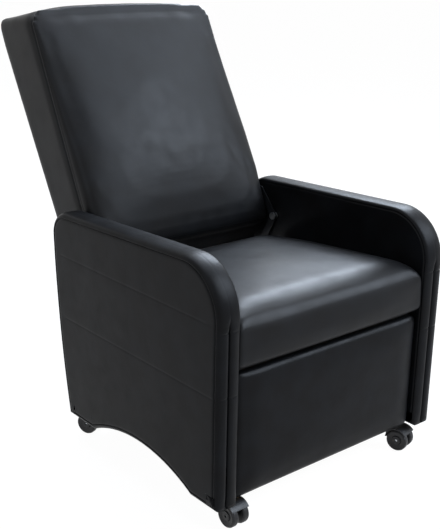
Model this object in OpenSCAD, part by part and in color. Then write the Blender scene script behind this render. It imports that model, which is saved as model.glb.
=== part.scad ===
// Push-back reclining chair on four casters, upholstered in black leatherette.
// Lengths are in millimetres. X runs across the chair, -Y is the front, +Z is up.
// Pieces are first laid out with the front of the side panels at depth 0, and
// the whole chair is then moved so that its box is centred over the origin.

/* [Side panels] */
// Overall width over both side panels
chair_w = 640; // [620:1:680]
// Thickness of one upholstered side panel
panel_t = 55; // [52:1:60]
// Depth of a side panel at arm height
panel_d = 585; // [575:1:600]
// Depth of a side panel at its bottom edge
panel_foot_d = 537; // [530:1:545]
// Height of the arm above the floor at the front
arm_h = 558; // [550:1:570]
// Drop of the arm from front to rear
arm_drop = 16; // [8:1:24]
// Height of the panel's bottom edge above the floor
panel_z = 64; // [63:0.5:66]
// Radius of the front corner of the arm
arm_front_r = 108; // [95:1:115]
// Radius of the rear corner of the arm
arm_rear_r = 54; // [40:1:58]
// How far the rear edge bows outwards
rear_bow = 9; // [4:1:12]
// Length of the arch in the bottom edge
arch_w = 350; // [320:1:360]
// Height of the arch
arch_h = 42; // [30:1:44]
// Depth of the arch's middle
arch_mid = 258; // [250:1:266]

/* [Side frame] */
// Thickness of the wooden side board
board_t = 30; // [26:1:32]
// Leatherette and wadding between the board and the inner face
inner_skin = 5; // [4:0.5:6]
// Wadding round the front, top and rear edges of the board
edge_wad = 14; // [12:1:16]
// Rounding of the panel's edges
edge_round = 12; // [10:1:14]

/* [Seat] */
// Height of the seat's crest at the front
seat_h = 466; // [462:1:468]
// Height of the bottom of the front lip
seat_lip_z = 343; // [341:1:345]
// Height of the bottom of the cushion's sides
seat_side_z = 356; // [355:0.5:358]
// Depth where the seat's front face stands
seat_front = 3; // [2:1:8]
// Gap between the seat's rear end and the foot of the back
seat_rear_gap = 26; // [24:1:34]
// Fall of the seat from front to rear
seat_fall = 40; // [30:1:46]
// Gap between the seat and each side panel
seat_gap = 0.4; // [0.3:0.1:1]
// Thickness of the seat frame's rails
seat_rail_h = 20; // [18:1:20]
// Width of the seat frame's rails
seat_rail_w = 42; // [36:1:50]

/* [Back] */
// Gap between each side of the back cushion and its bracket
back_side_gap = 1; // [0.6:0.2:6]
// Length of the back cushion along its slope
back_l = 583; // [570:1:620]
// Rise of the back's top edge in the middle
back_top_bow = 10; // [0:1:16]
// Rise of the back's rear top edge above its front top edge
back_top_rise = 50; // [36:1:60]
// Lean of the back from upright
back_lean = 29.5; // [28:0.5:31]
// Distance of the back's foot in front of the panels' rear foot
back_foot_in = 27; // [25:1:30]
// Height of the foot of the back
back_foot_z = 433; // [431:1:436]
// Thickness behind the reference line of the back
back_rear_t = 118; // [112:1:122]
// Thickness in front of that line at the cushion's edges
back_front_t = 40; // [36:1:44]
// Extra crown in the middle of the back
back_crown = 14; // [8:1:20]
// Extra thickness where the lower back is supported
lumbar = 16; // [8:1:20]
// Drop of the back's heel below its foot
back_heel = 22; // [14:1:24]
// Rise of the side crease towards the top
crease_rise = 32; // [20:1:38]
// Widest angle that the back leans back from rest
recline_max = 35; // [30:1:35]

/* [Footrest] */
// Gap over and beside the footrest
footrest_gap = 3; // [2:0.5:4]
// Height of the footrest pad's bottom edge
footrest_z = 62; // [61:0.5:64]
// Height of the footrest pad's top edge
footrest_top = 333; // [330:1:334]
// Depth of the pad's front edge behind the panel fronts
footrest_front = 9; // [8:1:11]
// Thickness of the footrest pad
footrest_pad_t = 28; // [26:1:28]
// Thickness of the footrest board
footrest_board_t = 15; // [12:1:15]

/* [Linkage] */
// Length of the lower link between its pivots
link_l = 170; // [165:1:172]
// Thickness of every link
link_t = 3; // [2.5:0.25:3]
// Free gap between neighbouring links
link_gap = 0.5; // [0.4:0.1:0.6]
// Width of the links
link_w = 20; // [17:1:20]
// Distance between the paired pivots of the lower links
pair_d = 36; // [34:1:38]
// Distance between the paired pivots of the upper links
guide_d = 40; // [38:1:42]
// Depth of the lower link's fixed pivot
fixed_d = 158; // [156:1:160]
// Height of the lower link's fixed pivot
fixed_z = 300; // [298:1:301]
// Depth of the footrest's pivot
foot_pivot_d = 63; // [61:1:65]
// Height of the footrest's pivot
foot_pivot_z = 270; // [267:1:273]
// Radius of the rivets
rivet_r = 4; // [3:0.25:4]
// Radial clearance of every turning fit
turn_fit = 0.05; // [0.03:0.01:0.08]

/* [Recline] */
// Distance of the back's pivot in front of the back's foot
pivot_in = 25; // [24:1:26]
// Height of the back's pivot
pivot_z = 455; // [454:1:456]
// Radius of the back's pivot bolt
pivot_r = 5; // [4:0.25:5]
// Radius from the back's pivot to the drive rod
drive_r = 115; // [114:0.5:116]
// Radius from the lower link's fixed pivot to the drive rod
crank_r = 49; // [48.5:0.25:49.5]
// Free play round the pin in the drive rod's slot
slot_play = 2; // [1.8:0.1:2.4]
// Length of the slot's travel
slot_travel = 9.4; // [9:0.2:10.4]

/* [Casters] */
// Radius of a caster wheel
wheel_r = 25; // [24:0.5:26]
// Thickness of one caster wheel
wheel_t = 16; // [14:0.5:17]
// Distance from the swivel axis back to the axle
trail = 28; // [26:0.5:28]
// Depth of the front swivel axes
caster_front_d = 56; // [50:0.5:60]
// Distance of the rear swivel axes in front of the panels' rear foot
caster_rear_in = 26; // [25:1:33]
// Distance of the swivel axes inside the panels' inner faces
caster_inset = 15; // [13:0.5:17]
// Resting swivel angle of the front left caster
front_left_turn = 0; // [-20:1:20]
// Resting swivel angle of the front right caster
front_right_turn = 14; // [-20:1:20]
// Resting swivel angle of the rear left caster
rear_left_turn = 202; // [150:1:215]
// Resting swivel angle of the rear right caster
rear_right_turn = 186; // [160:1:200]
// Radius of the caster's stem in its socket
stem_r = 5.5; // [5:0.25:5.5]

/* [Hidden] */
$fn = 48;

leather = "#26262a";
leather_soft = "#34353b";
pine = "#c9a877";
ply = "#b8935f";
foam_yellow = "#e6d9a0";
web_black = "#3a3a36";
steel = "#8f949a";
black_steel = "#2b2c2f";
nylon = "#1c1c1e";

half_w = chair_w / 2;
inner_x = half_w - panel_t;
back_foot_d = panel_foot_d - back_foot_in;
pivot_d = back_foot_d - pivot_in;
seat_rear = back_foot_d - seat_rear_gap;
cut = 1;
face_gap = 0.3;

// Fore-and-aft directions as depth and height for an angle above straight forward
function reach(from, len, angle) = [from[0] - len * cos(angle), from[1] + len * sin(angle)];

// Layers of the linkage, as distances from the middle of the chair
plate_out = inner_x;
plate_in = plate_out - link_t;
layer_a_out = plate_in - 2 * link_gap;
layer_a_in = layer_a_out - link_t;
layer_b_out = layer_a_in - link_gap;
layer_b_in = layer_b_out - link_t;
layer_c_out = layer_b_in - link_gap;
layer_c_in = layer_c_out - link_t;
head_t = 2.5;
head_r = rivet_r + 3;

// Places of the pivots
link_angle = -105;
pair_angle = 30;
fixed_pivot = [fixed_d, fixed_z];
pair_pivot = reach(fixed_pivot, pair_d, pair_angle);
knee = reach(fixed_pivot, link_l, link_angle);
knee_pair = reach(knee, pair_d, pair_angle);
guide_knee = reach(knee, -guide_d, link_angle);
foot_pivot = [foot_pivot_d, foot_pivot_z];
guide_pivot = reach(foot_pivot, -guide_d, link_angle);
drive_angle = -117.5;
crank_angle = -145;
back_pivot = [pivot_d, pivot_z];
drive_pivot = reach(back_pivot, drive_r, drive_angle);
crank_pivot = reach(fixed_pivot, crank_r, crank_angle);
tube_share = 0.35;
tube_place = reach(fixed_pivot, link_l * tube_share, link_angle);

// Back cushion's own axes: along the slope and forward from the reference line
function back_at(s, t) = [
    back_foot_d + s * sin(back_lean) - t * cos(back_lean),
    back_foot_z + s * cos(back_lean) + t * sin(back_lean)
];

// Unit vector from one place to another
function towards(p, q) = (q - p) / norm(q - p);

// Side panel outline, clockwise from the bottom front corner
panel_slope = arm_drop / (panel_d - arm_front_r - arm_rear_r);
front_arc_n = 12;
rear_arc_n = 9;
arch_n = 14;
bow_n = 6;
straight_n = 3;
arch_r = (pow(arch_w / 2, 2) + pow(arch_h, 2)) / (2 * arch_h);
arch_half = asin(arch_w / 2 / arch_r);
arm_top_rear = [panel_d - arm_rear_r, arm_h - arm_drop];
rear_low = [panel_foot_d, panel_z];
rear_high = [panel_d, arm_top_rear[1] - arm_rear_r];
panel_outline = concat(
    [for (i = [0 : straight_n - 1])
        [0, panel_z + (arm_h - arm_front_r - panel_z) * i / straight_n]],
    [for (i = [0 : front_arc_n])
        let (a = 180 - 90 * i / front_arc_n)
        [arm_front_r + arm_front_r * cos(a), arm_h - arm_front_r + arm_front_r * sin(a)]],
    [for (i = [1 : straight_n - 1])
        let (p = [arm_front_r, arm_h])
        p + (arm_top_rear - p) * i / straight_n],
    [for (i = [0 : rear_arc_n])
        let (a = 90 - 90 * i / rear_arc_n)
        [arm_top_rear[0] + arm_rear_r * cos(a),
         arm_top_rear[1] - arm_rear_r + arm_rear_r * sin(a)]],
    [for (i = [1 : bow_n - 1])
        let (k = i / bow_n)
        rear_high + (rear_low - rear_high) * k + [4 * rear_bow * k * (1 - k), 0]],
    [rear_low],
    [for (i = [0 : arch_n])
        let (a = arch_half - 2 * arch_half * i / arch_n)
        [arch_mid + arch_r * sin(a), panel_z + arch_h - arch_r + arch_r * cos(a)]]
);
panel_points = len(panel_outline);

// The outline moved inwards by one distance at every point
function inset_point(i, d) =
    let (
        n = panel_points,
        before = panel_outline[(i + n - 1) % n],
        here = panel_outline[i],
        after = panel_outline[(i + 1) % n],
        u = towards(before, here),
        v = towards(here, after),
        side = [u[1] + v[1], -u[0] - v[0]],
        lean = side * [u[1], -u[0]]
    ) here + side * d / lean;
function inset_panel(d) = [for (i = [0 : panel_points - 1]) inset_point(i, d)];

// Closed skin through rings of points, each end closed by a fan to its middle
module skin(rings, first_middle, last_middle) {
    n = len(rings[0]);
    m = len(rings);
    points = concat([for (ring = rings) each ring], [first_middle, last_middle]);
    walls = [for (j = [0 : m - 2], i = [0 : n - 1])
        let (a = j * n + i, b = j * n + (i + 1) % n)
        each [[a, b, b + n], [a, b + n, a + n]]];
    first_cap = [for (i = [0 : n - 1]) [(i + 1) % n, i, m * n]];
    last_cap = [for (i = [0 : n - 1]) [(m - 1) * n + i, (m - 1) * n + (i + 1) % n, m * n + 1]];
    polyhedron(points = points, faces = concat(walls, first_cap, last_cap), convexity = 6);
}

// Rounded rectangle as a ring of points, counter-clockwise, drawn in by a distance
corner_n = 7;
side_n = 5;
function rounded_ring(w, low, high, low_r, high_r, d, high_share, grow) =
    let (
        hw = w / 2 - d,
        lo = low + d,
        hi = high - d * high_share,
        lr = min(low_r + d * grow, hw, (hi - lo) / 2),
        hr = min(high_r + d * grow, hw, (hi - lo) / 2),
        middles = [[hw - hr, hi - hr], [hr - hw, hi - hr], [lr - hw, lo + lr], [hw - lr, lo + lr]],
        radii = [hr, hr, lr, lr],
        corners = [for (c = [0 : 3]) [for (i = [0 : corner_n])
            let (a = 90 * c + 90 * i / corner_n)
            middles[c] + radii[c] * [cos(a), sin(a)]]]
    ) [for (c = [0 : 3]) each concat(corners[c],
        [for (i = [1 : side_n - 1])
            let (p = corners[c][corner_n], q = corners[(c + 1) % 4][0])
            p + (q - p) * i / side_n])];

// Flat bar between two pivots, whose straight edges lie just inside its round ends
bar_step = 0.06;
module bar(p, q, w) {
    len_pq = norm(q - p);
    angle = atan2(q[1] - p[1], q[0] - p[0]);
    union() {
        translate(p)
            circle(d = w);
        translate(q)
            circle(d = w);
        translate(p)
            rotate(angle)
                translate([0, bar_step - w / 2])
                    square([len_pq, w - 2 * bar_step]);
    }
}

// Plate with a fore-and-aft outline between two distances from the middle
module plate_between(x_in, x_out) {
    translate([x_in, 0, 0])
        rotate([90, 0, 90])
            linear_extrude(x_out - x_in)
                children();
}

// Pin along X between two distances from the middle
module pin(at, r, x_in, x_out) {
    translate([x_in, at[0], at[1]])
        rotate([0, 90, 0])
            cylinder(r = r, h = x_out - x_in);
}

// Draws its children on the right side, or mirrored on the left
module on_side(side) {
    if (side < 0)
        mirror([1, 0, 0])
            children();
    else
        children();
}

// Moves a fore-and-aft layout so that the chair stands over the origin
module placed() {
    translate([0, -middle_d, 0])
        children();
}

// Wooden side board with its arch
board_out = inner_x + inner_skin + board_t;
board_in = inner_x + inner_skin;
function board_outline(low) = [for (i = [0 : panel_points - 1])
    let (
        p = inset_point(i, edge_wad),
        q = panel_outline[i],
        foot = q[1] <= panel_z + arch_h + cut && q[0] > cut && q[0] < panel_foot_d - cut,
        at_foot = q[1] <= panel_z + cut
    ) foot ? [q[0], q[1] - low] : at_foot ? [p[0], panel_z - low] : p];
tee_r = 9;
tee_t = 8;
module side_frame(side) {
    color(ply)
        placed()
            on_side(side)
                difference() {
                    plate_between(board_in, board_out)
                        polygon(board_outline(0));
                    pin(back_pivot, pivot_r, board_in - cut, board_out - tee_t);
                    pin(back_pivot, tee_r, board_out - tee_t, board_out + cut);
                    for (at = plate_screws)
                        pin(at, screw_r, board_in - cut, board_in + screw_bite);
                    for (at = block_screws)
                        pin(at, screw_r, board_in - cut, board_in + screw_bite);
                    for (at = rail_screws)
                        pin(at, screw_r, board_in - cut, board_in + screw_bite);
                }
}

// Upholstered cover of a side panel: inner skin, rounded band and outer face
cover_shares = [
    [0, 0.5], [0.04, 0.16], [0.11, 0.03], [0.22, 0], [0.42, 0], [0.5, 0.07],
    [0.58, 0], [0.74, 0], [0.86, 0.07], [0.94, 0.3], [0.985, 0.75], [1, 1.5]
];
module side_cover(side) {
    rings = [for (share = cover_shares)
        let (x = inner_x + panel_t * share[0], ring = inset_panel(edge_round * share[1]))
        [for (p = ring) [x, p[0], p[1]]]];
    mid_p = [arch_mid, (panel_z + arm_h) / 2];
    color(leather)
        placed()
            on_side(side)
                difference() {
                    skin(rings, [inner_x, mid_p[0], mid_p[1]], [half_w, mid_p[0], mid_p[1]]);
                    plate_between(board_in, board_out)
                        polygon(board_outline(edge_wad));
                    pin(back_pivot, pivot_r + screw_room, inner_x - cut, board_in + cut);
                    for (at = concat(plate_screws, block_screws, rail_screws))
                        pin(at, screw_r + screw_room, inner_x - cut, board_in + cut);
                }
}

// Rails between the side panels
rail_t = 18;
rail_gap_z = 4;
block_d = 54;
block_w = 33;
block_h = 40;
block_lift = 2;
block_gap = 1;
block_shift = 4;
block_z = panel_z + block_lift;
block_front = footrest_front + footrest_pad_t + block_gap;
caster_rear_d = panel_foot_d - caster_rear_in;
block_rear_end = caster_rear_d + block_d / 2 - block_shift;
front_rail_d = footrest_front + footrest_pad_t + footrest_board_t + rail_gap_z;
rear_rail_d = block_rear_end - rail_t;
rear_rail_top = 290;
module front_rail() {
    color(pine)
        placed()
            translate([block_w - inner_x, front_rail_d, block_z])
                cube([2 * (inner_x - block_w), rail_t, block_h]);
}
module rear_rail() {
    color(pine)
        placed()
            difference() {
                translate([-inner_x, rear_rail_d, block_z + block_h])
                    cube([2 * inner_x, rail_t, rear_rail_top - block_z - block_h]);
                for (side = [-1, 1])
                    on_side(side)
                        for (at = rail_screws)
                            pin(at, screw_r, inner_x - screw_bite, inner_x + cut);
            }
}
rear_panel_t = 6;
rear_panel_lift = 1;
module rear_panel() {
    color(leather)
        placed()
            translate([-inner_x + face_gap, block_rear_end, panel_z + rear_panel_lift])
                cube([2 * (inner_x - face_gap), rear_panel_t, rear_rail_top - panel_z]);
}

// Blocks in the lower corners, each with a bored socket for a caster
socket_wall = 1.5;
socket_r = stem_r + turn_fit + socket_wall;
socket_h = 38;
flange_r = 11;
flange_t = 2;
caster_x = inner_x - caster_inset;
caster_places = [
    [-caster_x, caster_front_d], [caster_x, caster_front_d],
    [-caster_x, caster_rear_d], [caster_x, caster_rear_d]
];
block_starts = [block_front, block_rear_end - block_d];
module caster_blocks() {
    color(pine)
        placed()
            for (c = [0 : 3])
                difference() {
                    translate([caster_places[c][0] < 0 ? -inner_x : inner_x - block_w,
                               block_starts[floor(c / 2)], block_z])
                        cube([block_w, block_d, block_h]);
                    translate([caster_places[c][0], caster_places[c][1], block_z - cut])
                        cylinder(r = socket_r, h = socket_h + cut);
                    on_side(sign(caster_places[c][0]))
                        for (at = block_screws)
                            pin(at, screw_r, inner_x - block_w - cut, inner_x + cut);
                }
}
module caster_sockets() {
    color(steel)
        placed()
            for (c = [0 : 3])
                translate([caster_places[c][0], caster_places[c][1], block_z])
                    difference() {
                        union() {
                            cylinder(r = socket_r, h = socket_h);
                            translate([0, 0, -flange_t])
                                cylinder(r = flange_r, h = flange_t);
                        }
                        translate([0, 0, -flange_t - cut])
                            cylinder(r = stem_r + turn_fit, h = socket_h + flange_t - socket_wall + cut);
                    }
}

// Screws into the side boards: mechanism plates, corner blocks and rear rail
screw_r = 2.5;
screw_room = 1;
screw_bite = 20;
screw_head_r = 5.5;
screw_head_t = 2.5;
screw_rise = 18;
screw_edge = 9;
rail_screw_edge = 40;
plate_screw_reach = [67, 132, 242];
plate_screws = [
    [fixed_d + plate_screw_reach[0], fixed_z + screw_rise],
    [fixed_d + plate_screw_reach[1], fixed_z],
    [fixed_d + plate_screw_reach[2], fixed_z]
];
block_screws = [
    for (d = [block_starts[0] + block_d - screw_edge, block_starts[1] + screw_edge],
         z = [block_z + screw_edge, block_z + block_h - screw_edge])
    [d, z]
];
rail_screws = [
    for (z = [block_z + block_h + rail_screw_edge, rear_rail_top - rail_screw_edge])
    [rear_rail_d + rail_t / 2, z]
];
module frame_screws() {
    color(steel)
        placed()
            for (side = [-1, 1])
                on_side(side) {
                    for (at = plate_screws) {
                        pin(at, screw_r, plate_in, board_in + screw_bite);
                        pin(at, screw_head_r, plate_in - screw_head_t, plate_in);
                    }
                    for (at = block_screws) {
                        pin(at, screw_r, inner_x - block_w, board_in + screw_bite);
                        pin(at, screw_head_r, inner_x - block_w - screw_head_t, inner_x - block_w);
                    }
                    for (at = rail_screws)
                        pin(at, screw_r, inner_x - screw_bite, board_in + screw_bite);
                }
}

// Seat frame, webbing, foam and cushion
frame_side_gap = 4;
frame_half = layer_c_in - frame_side_gap;
seat_frame_z = 334;
seat_frame_front = 30;
seat_frame_rear_in = 24;
seat_frame_rear = seat_rear - seat_frame_rear_in;
web_t = 2;
web_w = 50;
web_edge = 4;
web_long_n = 5;
web_cross_n = 4;
web_z = seat_frame_z + seat_rail_h;
module seat_frame() {
    color(pine)
        placed()
            difference() {
                translate([-frame_half, seat_frame_front, seat_frame_z])
                    cube([2 * frame_half, seat_frame_rear - seat_frame_front, seat_rail_h]);
                translate([-frame_half + seat_rail_w, seat_frame_front + seat_rail_w, seat_frame_z - cut])
                    cube([2 * (frame_half - seat_rail_w),
                          seat_frame_rear - seat_frame_front - 2 * seat_rail_w, seat_rail_h + 2 * cut]);
                for (side = [-1, 1])
                    on_side(side)
                        for (at = tab_screws)
                            translate([at[0], at[1], seat_frame_z - cut])
                                cylinder(r = screw_r, h = tab_bite + cut);
            }
}
module seat_webbing() {
    pitch_x = 2 * (frame_half - web_w) / (web_long_n - 1);
    depth = seat_frame_rear - seat_frame_front;
    pitch_y = (depth - 2 * web_w) / (web_cross_n - 1);
    color(web_black)
        placed() {
            for (i = [0 : web_long_n - 1])
                translate([-frame_half + web_w / 2 + pitch_x * i, seat_frame_front + web_edge, web_z])
                    cube([web_w, depth - 2 * web_edge, web_t]);
            for (i = [0 : web_cross_n - 1])
                translate([web_edge - frame_half, seat_frame_front + web_w / 2 + pitch_y * i, web_z + web_t])
                    cube([2 * (frame_half - web_edge), web_w, web_t]);
        }
}
seat_foam_z = web_z + 2 * web_t;
seat_foam_top = 392;
module seat_foam() {
    color(foam_yellow)
        placed()
            translate([-frame_half, seat_frame_front, seat_foam_z])
                cube([2 * frame_half, seat_frame_rear - seat_frame_front, seat_foam_top - seat_foam_z]);
}
seat_corner_front = 5;
seat_corner_rear = 26;
// Rings from the bottom: distance drawn in, and height as a share of the side's height
seat_edge_shares = [
    [0.28, 0], [0.08, 0.03], [0, 0.1], [0, 0.28], [0.02, 0.48], [0, 0.66],
    [0.06, 0.78], [0.2, 0.87], [0.45, 0.935], [0.9, 0.972], [1.7, 0.99], [3, 1.01],
    [4.2, 1.035], [5.6, 1.06]
];
seat_roll = 36;
seat_rear_share = 0.5;
seat_dome = 8;
seat_fall_power = 1.3;
rear_taper = 0.045;
taper_start_in = 69;
taper_end_in = 29;
taper_start = seat_rear - taper_start_in;
taper_end = seat_rear - taper_end_in;
seat_mid = (seat_front + seat_rear) / 2;
seat_cushion_w = 2 * (inner_x - seat_gap);
function seat_sink(y) = seat_fall
    * pow(max(0, (y - seat_front) / (seat_rear - seat_front)), seat_fall_power);
function seat_squeeze(y) = 1 - rear_taper * min(1, max(0, (y - taper_start) / (taper_end - taper_start)));
module seat_cushion() {
    tall = seat_h - seat_dome - seat_lip_z;
    rings = [for (share = seat_edge_shares)
        let (ring = rounded_ring(seat_cushion_w, seat_front, seat_rear, seat_corner_front,
                                 seat_corner_rear, seat_roll * share[0], seat_rear_share, 0.5))
        [for (p = ring) [p[0] * seat_squeeze(p[1]), p[1],
            seat_lip_z + tall * share[1] - seat_sink(p[1]) * pow(min(1, share[1]), 2)]]];
    color(leather_soft)
        placed()
            difference() {
                skin(rings, [0, seat_mid, seat_lip_z], [0, seat_mid, seat_h - seat_sink(seat_mid)]);
                translate([-frame_half, seat_frame_front, seat_lip_z - cut])
                    cube([2 * frame_half, seat_frame_rear - seat_frame_front,
                          seat_foam_top - seat_lip_z + cut]);
                translate([-half_w, seat_frame_front, seat_lip_z - cut])
                    cube([chair_w, seat_rear, seat_side_z - seat_lip_z + cut]);
            }
}
tab_screw_in = 39;
tab_screw_reach = [64, 194];
tab_screws = [for (d = tab_screw_reach) [plate_out - tab_screw_in, fixed_d + d]];
tab_bite = 14;
module seat_screws() {
    color(steel)
        placed()
            for (side = [-1, 1])
                on_side(side)
                    for (at = tab_screws)
                        translate([at[0], at[1], seat_frame_z - link_t]) {
                            cylinder(r = screw_r, h = tab_bite + link_t);
                            translate([0, 0, -screw_head_t])
                                cylinder(r = screw_head_r, h = screw_head_t);
                        }
}

// Mechanism plate on a side panel's inner face, with two tabs under the seat frame
plate_front_reach = 54;
plate_rear_reach = 258;
plate_drop = 18;
plate_front = fixed_d - plate_front_reach;
plate_rear = fixed_d + plate_rear_reach;
plate_low = fixed_z - plate_drop;
tab_w = 36;
tab_len = 53;
module mechanism_plate(side) {
    color(black_steel)
        placed()
            on_side(side)
                difference() {
                    union() {
                        plate_between(plate_in, plate_out)
                            polygon([
                                [plate_front, seat_frame_z], [plate_front, fixed_z],
                                [fixed_d - link_w, plate_low], [plate_rear - link_w, plate_low],
                                [plate_rear, fixed_z], [plate_rear, seat_frame_z]
                            ]);
                        for (at = tab_screws)
                            translate([plate_out - tab_len, at[1] - tab_w / 2, seat_frame_z - link_t])
                                cube([tab_len, tab_w, link_t]);
                    }
                    pin(fixed_pivot, rivet_r, plate_in - cut, plate_out + cut);
                    pin(pair_pivot, rivet_r, plate_in - cut, plate_out + cut);
                    for (at = plate_screws)
                        pin(at, screw_r, plate_in - cut, plate_out + cut);
                    for (at = tab_screws)
                        translate([at[0], at[1], seat_frame_z - link_t - cut])
                            cylinder(r = screw_r, h = link_t + 2 * cut);
                }
}
washer_r = rivet_r + 3;
module link_pivot_pins() {
    color(steel)
        placed()
            for (side = [-1, 1])
                on_side(side)
                    for (at = [fixed_pivot, pair_pivot]) {
                        pin(at, rivet_r, layer_a_in - link_gap / 2, plate_out);
                        pin(at, head_r, layer_a_in - link_gap / 2 - head_t, layer_a_in - link_gap / 2);
                        pin(at, washer_r, layer_a_out + link_gap / 2, plate_in);
                    }
}

// Shoulder bolts that carry the back, with their nuts and spacers
bolt_head_r = 9;
bolt_head_t = 4.5;
bracket_out = layer_a_out;
bracket_in = layer_a_in;
module back_pivot_bolts() {
    color(steel)
        placed()
            for (side = [-1, 1])
                on_side(side) {
                    pin(back_pivot, pivot_r, bracket_in - link_gap / 2, board_out - tee_t);
                    pin(back_pivot, bolt_head_r, bracket_in - link_gap / 2 - bolt_head_t,
                        bracket_in - link_gap / 2);
                    pin(back_pivot, bolt_head_r, bracket_out + link_gap / 2, inner_x);
                    pin(back_pivot, tee_r, board_out - tee_t, board_out);
                }
}

// Draws its children in the back's own axes: X across, Y forward, Z up the slope
module in_back() {
    translate([0, back_foot_d, back_foot_z])
        rotate([-back_lean, 0, 0])
            mirror([0, 1, 0])
                children();
}
back_wall = 13;
back_top_wall = 17;
board_side_t = 20;
rail_depth = 36;
back_w = 2 * (bracket_in - back_side_gap);
pocket_half = back_w / 2 - back_wall;
pocket_low = 14;
pocket_high = back_l - back_top_wall;
back_panel_t = 6;
side_board_rear = back_panel_t - back_rear_t;
board_recess = 24;
side_board_front = -board_recess;
foam_inset = 12;
foam_half = pocket_half - foam_inset;
foam_low = pocket_low + foam_inset;
foam_high = pocket_high - foam_inset;
back_foam_front = 14;
back_rail_w = 40;
back_rail_starts = [pocket_low, (pocket_low + pocket_high - back_rail_w) / 2, pocket_high - back_rail_w];
bracket_screws = [[100, -40], [58, -52]];
back_screw_bite = 16;
module back_frame() {
    color(pine)
        placed()
            difference() {
                in_back() {
                    for (x = [-pocket_half, pocket_half - board_side_t])
                        translate([x, side_board_rear, pocket_low])
                            cube([board_side_t, side_board_front - side_board_rear,
                                  pocket_high - pocket_low]);
                    for (s = back_rail_starts)
                        translate([board_side_t - pocket_half, side_board_rear, s])
                            cube([2 * (pocket_half - board_side_t), rail_depth, back_rail_w]);
                }
                for (side = [-1, 1])
                    on_side(side)
                        for (at = bracket_screws)
                            pin(back_at(at[0], at[1]), screw_r, pocket_half - back_screw_bite,
                                pocket_half + cut);
            }
}
back_web_n = 6;
module back_webbing() {
    pitch = (pocket_high - pocket_low - 2 * web_w) / (back_web_n - 1);
    color(web_black)
        placed()
            in_back()
                for (i = [0 : back_web_n - 1])
                    translate([-pocket_half, side_board_front, pocket_low + web_w / 2 + pitch * i])
                        cube([2 * pocket_half, web_t, web_w]);
}
module back_foam() {
    color(foam_yellow)
        placed()
            in_back()
                translate([-foam_half, side_board_front + web_t, foam_low])
                    cube([2 * foam_half, back_foam_front - side_board_front - web_t,
                          foam_high - foam_low]);
}
module back_rear_panel() {
    color(leather)
        placed()
            in_back()
                translate([-pocket_half, -back_rear_t, pocket_low])
                    cube([2 * pocket_half, back_panel_t, pocket_high - pocket_low]);
}

// Back cushion: boxed side with a crease, and a crowned front
back_corner_top = 42;
top_square = 26;
back_corner_low = 24;
back_roll = 26;
back_total = back_rear_t + back_front_t;
tuck_reach = 90;
tuck_depth = 14;
lumbar_power = 0.65;
// Rings from the rear: drawn in, place through the thickness, share of the crease's rise,
// and share of the heel that hangs below the foot
back_edge_shares = [
    [0.36, 0, 0, 1], [0.16, 0.012, 0, 1], [0.04, 0.045, 0, 1], [0, 0.1, 0, 1],
    [0, 0.42, 0.3, 1], [0, 0.66, 0.9, 0.25], [0.14, 0.735, 1, 0], [0, 0.79, 1, 0],
    [0.04, 0.86, 0.7, 0], [0.2, 0.92, 0.4, 0], [0.5, 0.965, 0.15, 0], [1.05, 0.99, 0, 0],
    [2.1, 1.005, 0, 0], [4, 1.038, 0, 0], [5.8, 1.064, 0, 0], [7.6, 1.082, 0, 0]
];
heel_square = 8;
crease_share = 0.735;
back_corner_pull = 0.012;
pull_start = 95;
pull_end = 45;
function back_swell(s, share) =
    let (
        front = min(1, max(0, (share - crease_share) / (1 - crease_share))),
        near_foot = max(0, 1 - s / tuck_reach),
        up = min(1, max(0, s / back_l))
    ) front * (lumbar * pow(sin(180 * pow(up, lumbar_power)), 2) - tuck_depth * near_foot * near_foot);
top_lift_power = 8;
function top_lift(p, share) = pow(max(0, p[1] / back_l), top_lift_power)
    * (back_top_bow * (1 - pow(2 * p[0] / back_w, 2)) + back_top_rise * max(0, 1 - share / crease_share));
function back_pull(s, share) = 1 - back_corner_pull
    * min(1, max(0, (share - crease_share / 2) * 2))
    * min(1, max(0, (pull_start - s) / (pull_start - pull_end)));
back_rings = [for (share = back_edge_shares)
    let (ring = rounded_ring(back_w, -back_heel * share[3], back_l,
                             back_corner_low - heel_square * share[3],
                             back_corner_top - top_square * share[3],
                             back_roll * share[0], 1, 0.5))
    [for (p = ring)
        let (t = -back_rear_t + back_total * share[1]
                 + crease_rise * share[2] * p[1] / back_l + back_swell(p[1], share[1]))
        [p[0] * back_pull(p[1], share[1]), t, p[1] + top_lift(p, share[1])]]];
bolt_room = 14;
bolt_room_t = 8;
bolt_room_in = bracket_in - bolt_room_t;
module back_cushion() {
    crown_t = back_front_t + back_crown + back_swell(back_l / 2, 1);
    color(leather_soft)
        placed()
            difference() {
                in_back()
                    difference() {
                        skin(back_rings, [0, -back_rear_t, back_l / 2], [0, crown_t, back_l / 2]);
                        translate([-pocket_half, -back_rear_t - cut, pocket_low])
                            cube([2 * pocket_half, back_rear_t + side_board_front + web_t + cut,
                                  pocket_high - pocket_low]);
                        translate([-foam_half, side_board_front, foam_low])
                            cube([2 * foam_half, back_foam_front - side_board_front,
                                  foam_high - foam_low]);
                    }
                for (side = [-1, 1])
                    on_side(side) {
                        pin(back_pivot, bolt_room, bolt_room_in, inner_x);
                        for (at = bracket_screws)
                            pin(back_at(at[0], at[1]), screw_r + screw_room, pocket_half - cut, inner_x);
                    }
            }
}

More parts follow.
